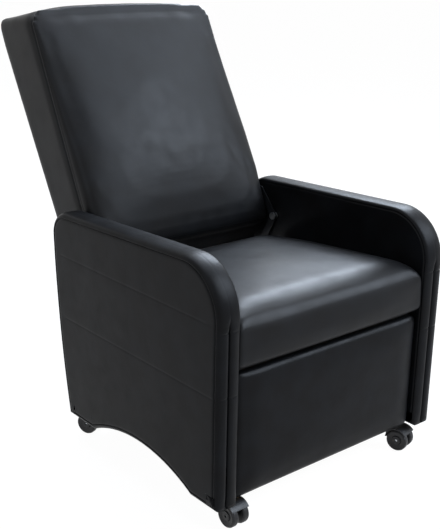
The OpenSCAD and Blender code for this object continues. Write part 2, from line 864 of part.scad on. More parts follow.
// Steel bracket on the back's side: arm up to the frame, tail down to the drive rod
bracket_w = 20;
bracket_bend = [82, 17];
module back_bracket(side) {
    arm_end = back_at(bracket_screws[1][0], bracket_screws[1][1]);
    arm_mid = back_at(bracket_screws[0][0], bracket_screws[0][1]);
    arm_bend = back_at(bracket_bend[0], bracket_bend[1]);
    color(black_steel)
        placed()
            on_side(side)
                difference() {
                    plate_between(bracket_in, bracket_out)
                        union() {
                            bar(back_pivot, arm_bend, bracket_w);
                            bar(arm_bend, arm_end, bracket_w);
                            bar(back_pivot, drive_pivot, bracket_w);
                        }
                    pin(back_pivot, pivot_r + turn_fit, bracket_in - cut, bracket_out + cut);
                    pin(drive_pivot, rivet_r, bracket_in - cut, bracket_out + cut);
                    pin(arm_end, screw_r, bracket_in - cut, bracket_out + cut);
                    pin(arm_mid, screw_r, bracket_in - cut, bracket_out + cut);
                }
}
module back_screws() {
    color(steel)
        placed()
            for (side = [-1, 1])
                on_side(side)
                    for (at = bracket_screws) {
                        pin(back_at(at[0], at[1]), screw_r, pocket_half - back_screw_bite, bracket_out);
                        pin(back_at(at[0], at[1]), screw_head_r, bracket_out,
                            bracket_out + screw_head_t);
                    }
}

// Rivets on one body: a plain shank through two layers with a head inside
module rivet(at, x_in, x_out) {
    pin(at, rivet_r, x_in, x_out);
    pin(at, head_r, x_in - head_t, x_in);
}
module drive_pins() {
    color(steel)
        placed()
            for (side = [-1, 1])
                on_side(side)
                    rivet(drive_pivot, layer_b_in - link_gap / 2, bracket_out);
}

// Drive rods from the back brackets to the lower links, slotted at the front end
rod_w = 18;
eye_w = 22;
slot_r = rivet_r + slot_play;
module drive_rods() {
    along = towards(drive_pivot, crank_pivot);
    down = [-along[1], along[0]];
    slot_end = crank_pivot + down * slot_travel;
    color(black_steel)
        placed()
            for (side = [-1, 1])
                on_side(side)
                    difference() {
                        plate_between(layer_b_in, layer_b_out)
                            union() {
                                bar(drive_pivot, crank_pivot, rod_w);
                                bar(crank_pivot, slot_end, eye_w);
                            }
                        pin(drive_pivot, rivet_r + turn_fit, layer_b_in - cut, layer_b_out + cut);
                        plate_between(layer_b_in - cut, layer_b_out + cut)
                            bar(crank_pivot, slot_end, 2 * slot_r);
                    }
}

// Lower links with the lobe that the drive rod pushes
tube_r = 8;
tube_wall = 1.5;
module lower_link(side) {
    color(black_steel)
        placed()
            on_side(side)
                difference() {
                    plate_between(layer_a_in, layer_a_out)
                        union() {
                            bar(fixed_pivot, knee, link_w);
                            bar(fixed_pivot, crank_pivot, link_w);
                        }
                    pin(fixed_pivot, rivet_r + turn_fit, layer_a_in - cut, layer_a_out + cut);
                    pin(knee, rivet_r, layer_a_in - cut, layer_a_out + cut);
                    pin(guide_knee, rivet_r, layer_a_in - cut, layer_a_out + cut);
                    pin(crank_pivot, rivet_r, layer_a_in - cut, layer_a_out + cut);
                }
}
module cross_tube() {
    color(black_steel)
        placed()
            difference() {
                pin(tube_place, tube_r, -layer_a_in, layer_a_in);
                pin(tube_place, tube_r - tube_wall, -layer_a_in - cut, layer_a_in + cut);
            }
}
spacer_r = 6.5;
module knee_rivets() {
    color(steel)
        placed()
            for (side = [-1, 1])
                on_side(side) {
                    rivet(knee, layer_b_in - link_gap / 2, layer_a_out);
                    rivet(crank_pivot, layer_b_in - link_gap / 2, layer_a_out);
                    rivet(guide_knee, layer_c_in - link_gap / 2, layer_a_out);
                    pin(guide_knee, spacer_r, layer_c_out + link_gap / 2, layer_a_in);
                }
}

// Guide links beside the lower links
guide_w = 18;
module guide_links() {
    color(black_steel)
        placed()
            for (side = [-1, 1])
                on_side(side)
                    difference() {
                        plate_between(layer_a_in, layer_a_out)
                            bar(pair_pivot, knee_pair, guide_w);
                        pin(pair_pivot, rivet_r + turn_fit, layer_a_in - cut, layer_a_out + cut);
                        pin(knee_pair, rivet_r + turn_fit, layer_a_in - cut, layer_a_out + cut);
                    }
}

// Upper links, each with a stud for the guide link at its knee
upper_w = 17;
module upper_links() {
    color(black_steel)
        placed()
            for (side = [-1, 1])
                on_side(side) {
                    difference() {
                        plate_between(layer_b_in, layer_b_out)
                            union() {
                                bar(knee, knee_pair, link_w);
                                bar(knee_pair, foot_pivot, upper_w);
                            }
                        pin(knee, rivet_r + turn_fit, layer_b_in - cut, layer_b_out + cut);
                        pin(foot_pivot, rivet_r + turn_fit, layer_b_in - cut, layer_b_out + cut);
                    }
                    pin(knee_pair, rivet_r, layer_b_in - head_t, layer_a_out);
                }
}

// Upper guides, which keep the footrest square to the lower links
module upper_guides() {
    color(black_steel)
        placed()
            for (side = [-1, 1])
                on_side(side)
                    difference() {
                        plate_between(layer_c_in, layer_c_out)
                            bar(guide_knee, guide_pivot, upper_w);
                        pin(guide_knee, rivet_r + turn_fit, layer_c_in - cut, layer_c_out + cut);
                        pin(guide_pivot, rivet_r + turn_fit, layer_c_in - cut, layer_c_out + cut);
                    }
}

// Footrest: brackets, board, pad, rivets and screws
footrest_half = inner_x - footrest_gap;
pad_rear = footrest_front + footrest_pad_t;
bracket_flange = 58;
bracket_drop = 26;
bracket_below_top = 10;
flange_edge = 11;
bracket_low = foot_pivot_z - bracket_drop;
bracket_high = footrest_top - bracket_below_top;
flange_screws = [
    for (z = [bracket_low + flange_edge, bracket_high - flange_edge])
    [layer_a_out - bracket_flange + flange_edge, z]
];
module footrest_bracket(side) {
    color(black_steel)
        placed()
            on_side(side)
                difference() {
                    union() {
                        plate_between(layer_a_in, layer_a_out)
                            union() {
                                translate([pad_rear, bracket_low])
                                    square([guide_pivot[0] - pad_rear, bracket_high - bracket_low]);
                                bar(foot_pivot, guide_pivot, link_w);
                            }
                        translate([layer_a_out - bracket_flange, pad_rear, bracket_low])
                            cube([bracket_flange, link_t, bracket_high - bracket_low]);
                    }
                    pin(foot_pivot, rivet_r, layer_a_in - cut, layer_a_out + cut);
                    pin(guide_pivot, rivet_r, layer_a_in - cut, layer_a_out + cut);
                    for (at = flange_screws)
                        translate([at[0], pad_rear - cut, at[1]])
                            rotate([-90, 0, 0])
                                cylinder(r = screw_r, h = link_t + 2 * cut);
                }
}
board_side_gap = 3;
board_wrap = 6;
notch_gap = 4;
board_half = layer_c_in - board_side_gap;
board_low = footrest_z + board_wrap;
board_top = footrest_top - board_wrap;
notch_x = inner_x - block_w - notch_gap;
notch_z = block_z + block_h + notch_gap;
module footrest_board() {
    color(ply)
        placed()
            difference() {
                translate([-board_half, pad_rear, board_low])
                    cube([2 * board_half, footrest_board_t, board_top - board_low]);
                for (side = [-1, 1])
                    on_side(side) {
                        translate([notch_x, pad_rear - cut, footrest_z])
                            cube([board_half, footrest_board_t + 2 * cut, notch_z - footrest_z]);
                        translate([layer_a_out - bracket_flange - cut, pad_rear - cut, bracket_low - cut])
                            cube([bracket_flange, link_t + cut, bracket_high - bracket_low + 2 * cut]);
                        for (at = flange_screws)
                            translate([at[0], pad_rear - cut, at[1]])
                                rotate([-90, 0, 0])
                                    cylinder(r = screw_r, h = footrest_board_t + 2 * cut);
                    }
            }
}
pad_corner = 12;
pad_roll = 14;
pad_dome = 3;
// Rings from the rear: drawn in, and place through the thickness
pad_edge_shares = [
    [0.3, 0], [0.05, 0.06], [0, 0.2], [0.03, 0.5], [0.2, 0.76], [0.55, 0.9], [1.1, 0.97], [2.6, 1]
];
module footrest_pad() {
    rings = [for (share = pad_edge_shares)
        let (ring = rounded_ring(2 * footrest_half, footrest_z, footrest_top, pad_corner,
                                 pad_corner, pad_roll * share[0], 1, 0.5))
        [for (p = ring) [p[0], -(pad_rear - footrest_pad_t * share[1]), p[1]]]];
    mid_z = (footrest_z + footrest_top) / 2;
    color(leather)
        placed()
            difference() {
                mirror([0, 1, 0])
                    skin(rings, [0, -pad_rear, mid_z], [0, pad_dome - footrest_front, mid_z]);
                for (side = [-1, 1])
                    on_side(side)
                        for (at = flange_screws)
                            translate([at[0], pad_rear - head_t, at[1]])
                                rotate([-90, 0, 0])
                                    cylinder(r = screw_head_r, h = head_t + cut);
            }
}
module footrest_rivets() {
    color(steel)
        placed()
            for (side = [-1, 1])
                on_side(side) {
                    rivet(foot_pivot, layer_b_in - link_gap / 2, layer_a_out);
                    rivet(guide_pivot, layer_c_in - link_gap / 2, layer_a_out);
                    pin(guide_pivot, spacer_r, layer_c_out + link_gap / 2, layer_a_in);
                }
}
module footrest_screws() {
    color(steel)
        placed()
            for (side = [-1, 1])
                on_side(side)
                    for (at = flange_screws)
                        translate([at[0], pad_rear, at[1]])
                            rotate([-90, 0, 0]) {
                                cylinder(r = screw_r, h = footrest_board_t);
                                translate([0, 0, -head_t])
                                    cylinder(r = screw_head_r, h = head_t);
                            }
}

// Casters: twin wheels under a hood, trailing behind a swivelling stem
web_half = 5;
wheel_gap = 0.6;
axle_r = 3;
wheel_in = web_half + wheel_gap;
wheel_out = wheel_in + wheel_t;
guard_gap = 1.2;
guard_in = wheel_r + guard_gap;
guard_t = 2.4;
guard_start = 8;
guard_end = 142;
boss_r = 9;
boss_top = block_z - flange_t - face_gap;
boss_low = 52;
boss_lap = 2;
shoulder = 6;
lower_stem_r = 4;
stem_low = 36;
hub_r = 10;
tread_round = 4;
tread_lip = 1.2;
rim_step = 1;
cap_depth = 3;

// Draws its children at one caster, with the axle's side of the stem towards -Y
caster_turns = [front_left_turn, front_right_turn, rear_left_turn, rear_right_turn];
module at_caster(c) {
    translate([caster_places[c][0], caster_places[c][1], 0])
        rotate([0, 0, caster_turns[c]])
            children();
}
module along_axle(x_in, x_out, r) {
    translate([x_in, -trail, wheel_r])
        rotate([0, 90, 0])
            cylinder(r = r, h = x_out - x_in);
}
module caster_housing(c) {
    color(nylon)
        placed()
            at_caster(c)
                difference() {
                    union() {
                        along_axle(-web_half, web_half, hub_r);
                        translate([-web_half, -trail, wheel_r - hub_r / 2])
                            cube([2 * web_half, trail + lower_stem_r + boss_lap,
                                  boss_low - wheel_r + hub_r / 2]);
                        translate([0, 0, boss_low - boss_lap])
                            cylinder(r = boss_r, h = boss_top - boss_low + boss_lap);
                        translate([-wheel_out, -trail, wheel_r])
                            rotate([90, 0, 90])
                                rotate([0, 0, guard_start])
                                    linear_extrude(2 * wheel_out)
                                        difference() {
                                            circle(r = guard_in + guard_t);
                                            circle(r = guard_in);
                                            guard_open();
                                        }
                    }
                    along_axle(-web_half - cut, web_half + cut, axle_r);
                    translate([0, 0, stem_low])
                        cylinder(r = lower_stem_r, h = boss_top);
                    translate([0, 0, boss_low + shoulder])
                        cylinder(r = stem_r, h = boss_top);
                }
}
// Everything of the hood's ring that lies outside its stretch of angles
module guard_open() {
    far = 2 * wheel_r;
    sweep = guard_end - guard_start;
    polygon(concat([[0, 0]],
        [for (i = [0 : 6]) let (a = sweep + (360 - sweep) * i / 6) far * [cos(a), sin(a)]]));
}
module caster_pins(c) {
    color(steel)
        placed()
            at_caster(c) {
                translate([0, 0, stem_low])
                    cylinder(r = lower_stem_r, h = boss_low + shoulder - stem_low);
                translate([0, 0, boss_low + shoulder])
                    cylinder(r = stem_r, h = block_z + socket_h - 2 * socket_wall - boss_low - shoulder);
                along_axle(-wheel_out + cap_depth, wheel_out - cap_depth, axle_r);
            }
}
wheel_profile = [
    [axle_r + turn_fit, wheel_in], [wheel_r - tread_round, wheel_in],
    [wheel_r - tread_lip, wheel_in + tread_lip], [wheel_r, wheel_in + tread_round],
    [wheel_r, wheel_out - tread_round], [wheel_r - tread_lip, wheel_out - tread_lip],
    [wheel_r - tread_round, wheel_out], [wheel_r - tread_round - rim_step, wheel_out - rim_step],
    [hub_r + rim_step, wheel_out - cap_depth], [hub_r, wheel_out - rim_step],
    [axle_r + turn_fit, wheel_out - rim_step]
];
module caster_wheel(c, side) {
    color(nylon)
        placed()
            at_caster(c)
                on_side(side)
                    translate([0, -trail, wheel_r])
                        rotate([0, 90, 0])
                            rotate_extrude()
                                polygon(wheel_profile);
}

// Box of the whole chair from front to rear, and its middle
front_reach = min(0, caster_front_d - max([for (a = [front_left_turn, front_right_turn], p = wheel_profile)
    (trail + p[0]) * abs(cos(a)) + p[1] * abs(sin(a))]));
rear_reach = max([for (ring = back_rings, p = ring) back_at(p[2], p[1])[0]]);
middle_d = (front_reach + rear_reach) / 2;

side_frame(-1);  // left_side_frame
side_frame(1);  // right_side_frame
side_cover(-1);  // left_side_cover
side_cover(1);  // right_side_cover
front_rail();
rear_rail();
rear_panel();
caster_blocks();
caster_sockets();
frame_screws();
seat_frame();
seat_webbing();
seat_foam();
seat_cushion();
seat_screws();
mechanism_plate(-1);  // left_mechanism_plate
mechanism_plate(1);  // right_mechanism_plate
link_pivot_pins();
back_pivot_bolts();
back_frame();
back_webbing();
back_foam();
back_cushion();
back_rear_panel();
back_bracket(-1);  // left_back_bracket
back_bracket(1);  // right_back_bracket
back_screws();
drive_pins();
drive_rods();
lower_link(-1);  // left_lower_link
lower_link(1);  // right_lower_link
cross_tube();
knee_rivets();
guide_links();
upper_links();
upper_guides();
footrest_bracket(-1);  // left_footrest_bracket
footrest_bracket(1);  // right_footrest_bracket
footrest_board();
footrest_pad();
footrest_rivets();
footrest_screws();
caster_housing(0);  // caster_fl_housing
caster_pins(0);  // caster_fl_pins
caster_wheel(0, -1);  // caster_fl_wheel_left
caster_wheel(0, 1);  // caster_fl_wheel_right
caster_housing(1);  // caster_fr_housing
caster_pins(1);  // caster_fr_pins
caster_wheel(1, -1);  // caster_fr_wheel_left
caster_wheel(1, 1);  // caster_fr_wheel_right
caster_housing(2);  // caster_rl_housing
caster_pins(2);  // caster_rl_pins
caster_wheel(2, -1);  // caster_rl_wheel_left
caster_wheel(2, 1);  // caster_rl_wheel_right
caster_housing(3);  // caster_rr_housing
caster_pins(3);  // caster_rr_pins
caster_wheel(3, -1);  // caster_rr_wheel_left
caster_wheel(3, 1);  // caster_rr_wheel_right
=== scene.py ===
"""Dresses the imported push-back chair: upholstery, webbing, wood and metal finishes, light and camera.

Places are in metres in the CAD model's own frame: X across, -Y forward, Z up. Depth is measured
back from the front edge of the side panels.
"""
import math

import bmesh
import bpy
import numpy as np
from bpy.props import FloatProperty, FloatVectorProperty, PointerProperty
from mathutils import Matrix, Vector, noise
from mathutils.geometry import delaunay_2d_cdt


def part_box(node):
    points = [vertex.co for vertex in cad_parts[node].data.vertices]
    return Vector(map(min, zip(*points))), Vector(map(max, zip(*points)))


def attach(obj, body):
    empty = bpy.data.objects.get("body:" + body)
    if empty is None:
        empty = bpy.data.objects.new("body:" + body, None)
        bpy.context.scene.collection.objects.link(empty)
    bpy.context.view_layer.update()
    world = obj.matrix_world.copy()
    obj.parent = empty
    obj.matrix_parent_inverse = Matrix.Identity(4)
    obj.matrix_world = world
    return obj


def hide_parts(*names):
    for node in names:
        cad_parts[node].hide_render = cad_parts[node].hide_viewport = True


bl_info = {
    "name": "Push-back chair dresser",
    "version": (1, 0, 0),
    "blender": (4, 5, 0),
    "location": "3D View > Sidebar > Chair",
    "description": "Upholsters and finishes a push-back reclining chair round its CAD frame",
    "category": "Object",
}

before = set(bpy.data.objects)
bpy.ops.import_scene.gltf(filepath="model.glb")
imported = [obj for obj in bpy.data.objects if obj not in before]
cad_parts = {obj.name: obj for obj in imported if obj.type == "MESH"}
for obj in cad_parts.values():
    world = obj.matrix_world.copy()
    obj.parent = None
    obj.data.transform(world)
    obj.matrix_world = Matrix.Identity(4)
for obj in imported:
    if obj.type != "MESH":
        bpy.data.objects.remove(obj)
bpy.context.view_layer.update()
MM = 0.001
COVER_LOW, COVER_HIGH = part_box("left_side_cover")
FRONT = COVER_LOW.y
INNER_X = -COVER_HIGH.x
OUTER_X = -COVER_LOW.x
PANEL_THICKNESS = OUTER_X - INNER_X
SEAT_LOW, SEAT_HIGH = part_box("seat_cushion")
FRAME_LOW, FRAME_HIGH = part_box("seat_frame")


def mm(*lengths):
    """Lengths in millimetres, as metres."""
    return tuple(length * MM for length in lengths)


# Materials

NOISE = "ShaderNodeTexNoise"
CELLS = "ShaderNodeTexVoronoi"
WAVES = "ShaderNodeTexWave"
WHITE = (1, 1, 1, 1)
# Values of the mottle's noise at which the darker and the lighter tint are reached
TINT_ENDS = (0.36, 0.64)
# Size of the glossier and duller patches, and the noise values at which each is reached
PATCH_SIZE = 35 * MM
PATCH_ENDS = (0.3, 0.7)
# Finishes by the name of their slot, which main fills in
FINISHES = {}


def linear(colour):
    """sRGB hex colour as linear RGBA."""
    parts = [int(colour[i:i + 2], 16) / 255 for i in (1, 3, 5)]
    return [c / 12.92 if c <= 0.04045 else ((c + 0.055) / 1.055) ** 2.4 for c in parts] + [1.0]


def to_hex(colour):
    """A colour property, held as sRGB, as sRGB hex."""
    return "#" + "".join(f"{round(255 * part):02x}" for part in colour[:3])


def add_node(tree, kind, sockets=None, **settings):
    """Adds one node, with its settings, and with a value or a link on each socket named."""
    node = tree.nodes.new(kind)
    for name, value in settings.items():
        setattr(node, name, value)
    for name, value in (sockets or {}).items():
        if isinstance(value, bpy.types.NodeSocket):
            tree.links.new(value, node.inputs[name])
        else:
            node.inputs[name].default_value = value
    return node


def make_finish(name, dark, light, roughness, relief, tint_size, metallic=0.0, **sockets):
    """One finish: two mottled tints, a roughness range, and layers of relief.

    A layer of relief is a texture node's kind, the size of the pattern's unit in metres, for all
    axes or for each, the relief's height in metres, and the node's own settings and sockets."""
    material = bpy.data.materials.new(name)
    material.use_nodes = True
    tree = material.node_tree
    shader = tree.nodes["Principled BSDF"]
    shader.inputs["Metallic"].default_value = metallic
    for socket, value in sockets.items():
        shader.inputs[socket.replace("_", " ")].default_value = value
    place = add_node(tree, "ShaderNodeTexCoord").outputs["Object"]

    def pattern(kind, size, settings=None, sockets=None):
        size = size if isinstance(size, tuple) else (size,) * 3
        scaled = add_node(tree, "ShaderNodeMapping",
                          {"Vector": place, "Scale": [1 / length for length in size]})
        values = {"Vector": scaled.outputs[0], "Scale": 1.0}
        values.update(sockets or {})
        return add_node(tree, kind, values, **(settings or {})).outputs[0]

    mottle = pattern(NOISE, tint_size, None, {"Detail": 4.0})
    ramp = add_node(tree, "ShaderNodeValToRGB", {"Fac": mottle})
    for element, end, colour in zip(ramp.color_ramp.elements, TINT_ENDS, (dark, light)):
        element.position = end
        element.color = linear(colour)
    tree.links.new(ramp.outputs[0], shader.inputs["Base Color"])
    spread = add_node(tree, "ShaderNodeMapRange", {
        "Value": pattern(NOISE, PATCH_SIZE, None, {"Detail": 5.0}),
        "From Min": PATCH_ENDS[0], "From Max": PATCH_ENDS[1],
        "To Min": roughness[0], "To Max": roughness[1]})
    tree.links.new(spread.outputs[0], shader.inputs["Roughness"])
    normal = None
    for kind, size, height, settings, values in relief:
        bump = add_node(tree, "ShaderNodeBump", {
            "Height": pattern(kind, size, settings, values), "Distance": height})
        if normal:
            tree.links.new(normal, bump.inputs["Normal"])
        normal = bump.outputs[0]
    if normal:
        tree.links.new(normal, shader.inputs["Normal"])
    return material


def make_finishes(look):
    """Every finish of the chair, by the name of its slot."""
    dark, light = to_hex(look.leather_dark), to_hex(look.leather_light)
    # PVC leatherette pressed with a fine pebble: satin, with small glints where it creases
    leather_relief = [
        (NOISE, 90 * MM, 0.5 * MM, None, {"Detail": 2.0}),
        (NOISE, 12 * MM, 0.10 * MM, None, {"Detail": 3.0}),
        (CELLS, look.leather_grain, 0.05 * MM, {"feature": "SMOOTH_F1"}, {"Smoothness": 0.3}),
    ]
    plys = {"wave_type": "BANDS", "bands_direction": "X", "wave_profile": "SIN"}
    rings = {"wave_type": "RINGS", "rings_direction": "X", "wave_profile": "SAW"}
    weave = {"wave_type": "BANDS", "bands_direction": "Y", "wave_profile": "SIN"}
    return {
        # Less gloss than the padded copy, so that the side panels and footrest reflect less and look
        # darker: a shaded copy of the same leatherette
        "leatherette": make_finish(
            "Black PVC leatherette, stretched over board", dark, light, (0.34, 0.44),
            leather_relief, 50 * MM, Specular_IOR_Level=0.08),
        # The same leatherette over soft foam, given more gloss than the copy on the boards so that the
        # seat and back catch a brighter sheen: a lit copy of one material, standing in for how the light
        # falls on them
        "leatherette_soft": make_finish(
            "Black PVC leatherette, padded", dark, light, (0.36, 0.45),
            leather_relief, 60 * MM, Specular_IOR_Level=0.13),
        # Birch plywood, sanded: pale even face with fine pores
        "plywood": make_finish(
            "Birch plywood, sanded", "#b08a5c", "#cdaa79", (0.5, 0.62),
            [(WAVES, mm(3.5, 400, 50), 0.05 * MM, plys, {"Distortion": 2.0}),
             (NOISE, mm(2, 30, 2), 0.06 * MM, None, {"Detail": 3.0})], mm(100, 20, 300)),
        # Pine, planed: broad grain along the rail with darker late wood
        "pine": make_finish(
            "Pine, planed", "#b98d55", "#dcb981", (0.48, 0.6),
            [(WAVES, mm(400, 9, 9), 0.06 * MM, rings, {"Distortion": 3.0, "Detail": 2.0}),
             (NOISE, mm(50, 1.5, 1.5), 0.05 * MM, None, {"Detail": 3.0})], mm(350, 6, 20)),
        # Polyurethane foam, cut: matt, open cells of about 1 mm drawn at 2 mm so that they show
        "foam": make_finish(
            "Polyurethane foam, cut", "#d9c98c", "#eadfae", (0.88, 0.96),
            [(CELLS, 2 * MM, 0.5 * MM, {"feature": "F1"}, None)], 20 * MM, Sheen_Weight=0.2),
        # Elastic webbing, woven: dull and dark, with ribs across and fine threads along
        "webbing": make_finish(
            "Elastic webbing, woven", "#26241f", "#3c3931", (0.7, 0.85),
            [(WAVES, mm(20, 2.2, 20), 0.3 * MM, weave, None),
             (WAVES, mm(1.6, 20, 20), 0.25 * MM, plys, None)], 10 * MM, Sheen_Weight=0.15),
        # Mild steel, zinc plated: bright bluish grey with faint cloudy spangle
        "steel": make_finish(
            "Mild steel, zinc plated", "#a9adb2", "#c6c9cd", (0.26, 0.42),
            [(NOISE, mm(4, 0.8, 4), 0.012 * MM, None, {"Detail": 3.0})], 12 * MM, 1.0),
        # Mild steel, black stoved enamel: satin black with slight orange peel
        "black_steel": make_finish(
            "Mild steel, black enamel", "#151618", "#1f2023", (0.38, 0.5),
            [(NOISE, 2.5 * MM, 0.03 * MM, None, {"Detail": 2.0})], 30 * MM, Specular_IOR_Level=0.2),
        # Nylon, moulded: dull black with a fine spark-eroded texture and scuffs
        "nylon": make_finish(
            "Nylon, moulded black", "#0f0f10", "#19191b", (0.38, 0.55),
            [(NOISE, 1.2 * MM, 0.03 * MM, None, {"Detail": 2.0})], 20 * MM, Specular_IOR_Level=0.3),
        # Spunbonded polypropylene sheet under the back's foot, as painted shade: dead matt and near
        # black, it stands in for the shade where the back meets the seat. It has a fine felted surface
        "lining": make_finish(
            "Polypropylene lining, spunbonded", "#0b0b0c", "#111112", (0.9, 0.98),
            [(NOISE, 1 * MM, 0.08 * MM, None, {"Detail": 3.0})], 10 * MM, Specular_IOR_Level=0.05),
    }


# Mesh tools

def new_object(name, mesh):
    """A mesh object in the scene, smooth shaded."""
    obj = bpy.data.objects.new(name, mesh)
    bpy.context.scene.collection.objects.link(obj)
    mesh.shade_smooth()
    return obj


def mesh_from(name, points, faces):
    """A mesh from lists of points and faces, with its faces turned outwards."""
    mesh = bpy.data.meshes.new(name)
    mesh.from_pydata([tuple(p) for p in points], [], faces)
    work = bmesh.new()
    work.from_mesh(mesh)
    bmesh.ops.remove_doubles(work, verts=work.verts, dist=1e-6)
    bmesh.ops.recalc_face_normals(work, faces=work.faces)
    work.to_mesh(mesh)
    work.free()
    return mesh


def join_mesh(mesh, other):
    """Adds a second mesh to the first, and deletes the second."""
    work = bmesh.new()
    work.from_mesh(mesh)
    work.from_mesh(other)
    work.to_mesh(mesh)
    work.free()
    bpy.data.meshes.remove(other)


def read_points(mesh):
    """Places and normals of a mesh's vertices as arrays."""
    count = len(mesh.vertices)
    places, normals = np.zeros(count * 3, np.float32), np.zeros(count * 3, np.float32)
    mesh.vertices.foreach_get("co", places)
    mesh.vertices.foreach_get("normal", normals)
    return places.reshape(-1, 3).astype(float), normals.reshape(-1, 3).astype(float)


def write_points(mesh, places):
    """Puts an array of places back on a mesh."""
    mesh.vertices.foreach_set("co", np.asarray(places, np.float32).ravel())
    mesh.update()


def apply_modifiers(obj):
    """Turns the object's modifiers into its mesh."""
    bpy.context.view_layer.update()
    graph = bpy.context.evaluated_depsgraph_get()
    mesh = bpy.data.meshes.new_from_object(obj.evaluated_get(graph))
    old = obj.data
    obj.modifiers.clear()
    obj.data = mesh
    bpy.data.meshes.remove(old)
    mesh.shade_smooth()


def waver(places, size, seed):
    """Smooth noise from about -1 to 1 at each place, with hills of the given size."""
    shift = Vector((seed * 7.3, seed * 3.1, seed * 5.7))
    return np.array([noise.fractal(Vector(p) / size + shift, 1.0, 2.0, 2) for p in places])


def hump(values, width):
    """A smooth hump of height 1 where the values pass 0, falling away over the width."""
    return np.exp(-(values / width) ** 2)


def dress(obj, finish, body, replaces=()):
    """Gives a piece its finish, the body it rides on and what it stands for."""
    obj.data.materials.clear()
    obj.data.materials.append(FINISHES[finish])
    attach(obj, body)
    if replaces:
        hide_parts(*replaces)


# Side panels

# Depths and heights with no unit are in mm, as the section's insets are

# Distance between the outline's points, and the least distance between two of them
PATH_STEP = 6 * MM
LEAST_STEP = 0.6 * MM
# Rows of points beside each crease of the band, and beside each seam of the faces
CREASE_ROWS = mm(-4.5, -3, -1.5, 0, 1.5, 3, 4.5)
SEAM_ROWS = mm(-6, -4, -2.5, -1.2, 0, 1.2, 2.5, 4, 6)
# The faces' points: distance between them, and their clearance from the seams' own rows
FACE_STEP = 10 * MM
SEAM_CLEARANCE = 8 * MM
# How far a face's inner points keep from the outline
FACE_INSET = 36 * MM

# Section of a panel's band from its inner face to its outer face: share of the thickness, inset in mm
PANEL_SECTION = (
    (0, 30), (0, 20), (0, 13), (0, 10.5), (0.02, 9.6), (0.03, 9), (0.02, 8.4), (0, 7.5), (0.012, 5),
    (0.04, 1.9), (0.07, 0.9), (0.11, 0.36), (0.16, 0.1), (0.22, 0), (0.28, 0), (0.34, 0), (0.4, 0),
    (0.44, 0.05), (0.465, 0.1), (0.485, 0.15), (0.5, 0.2), (0.515, 0.15), (0.535, 0.1), (0.56, 0.05),
    (0.6, 0), (0.66, 0), (0.72, 0), (0.78, 0.15), (0.83, 0.5), (0.87, 1.1), (0.905, 2), (0.94, 3.6),
    (0.965, 5.4), (0.982, 7.2), (0.988, 8.4), (0.98, 9.3), (0.955, 10), (0.94, 10.6), (0.955, 11.2),
    (0.98, 12), (0.992, 13.2), (1, 15.5), (1, 20), (1, 30),
)

# The band's crown: height in mm above its edges, and the stretch above the foot where it begins
ARM_CROWN = 2.0
CROWN_TAPER = 30 * MM
# Points of the outline that are less deep than this belong to the band's front
FRONT_EDGE = 20 * MM
# The front's two lobes: fall from a lobe's top to its edges, how full it is, the shares of the
# thickness that they take up, their start above the upper seam, and the stretch over which they
# fade in
LOBE_DEPTH = 4.2
LOBE_POWER = 2.8
LOBE_SHARES = (0.02, 0.9)
LOBE_START = 14 * MM
LOBE_FADE = 26 * MM
# The seam between the lobes, and the creases across the band: depth and half width of each
MIDDLE_SEAM_DEPTH = 3.4
MIDDLE_SEAM_WIDTH = 1.6 * MM
CREASE_DEPTH = 1.5
CREASE_WIDTH = 1.7 * MM
# Puckers along the piping: depth, reach, limit and the inset of the piping's seam, then their waves
# along the outline in radians per metre, how far these drift in radians, and the drift's own waves
PUCKER_DEPTH = 0.3
PUCKER_REACH = 4
PUCKER_LIMIT = 25
PIPING_INSET = 9.5
PUCKER_WAVES = 330
PUCKER_DRIFT = 2.2
DRIFT_WAVES = 61
# Shares of the thickness where the band's swell begins, and which it takes up
BAND_START_SHARE = 0.05
BAND_WIDTH_SHARE = 0.9
# The outer face: half width and depth of its seams, depth and size of its ripples, and the
# thickness over which both fade away
SEAM_WIDTH = 2.2 * MM
SEAM_DEPTH = 0.4 * MM
RIPPLE_DEPTH = 1.0 * MM
RIPPLE_SIZE = 110 * MM
FACE_FADE = 3 * MM


def band_creases(sizes):
    """Heights of the creases across the front of the band."""
    return sizes.upper_seam, sizes.upper_seam - sizes.seam_pair, sizes.lower_seam


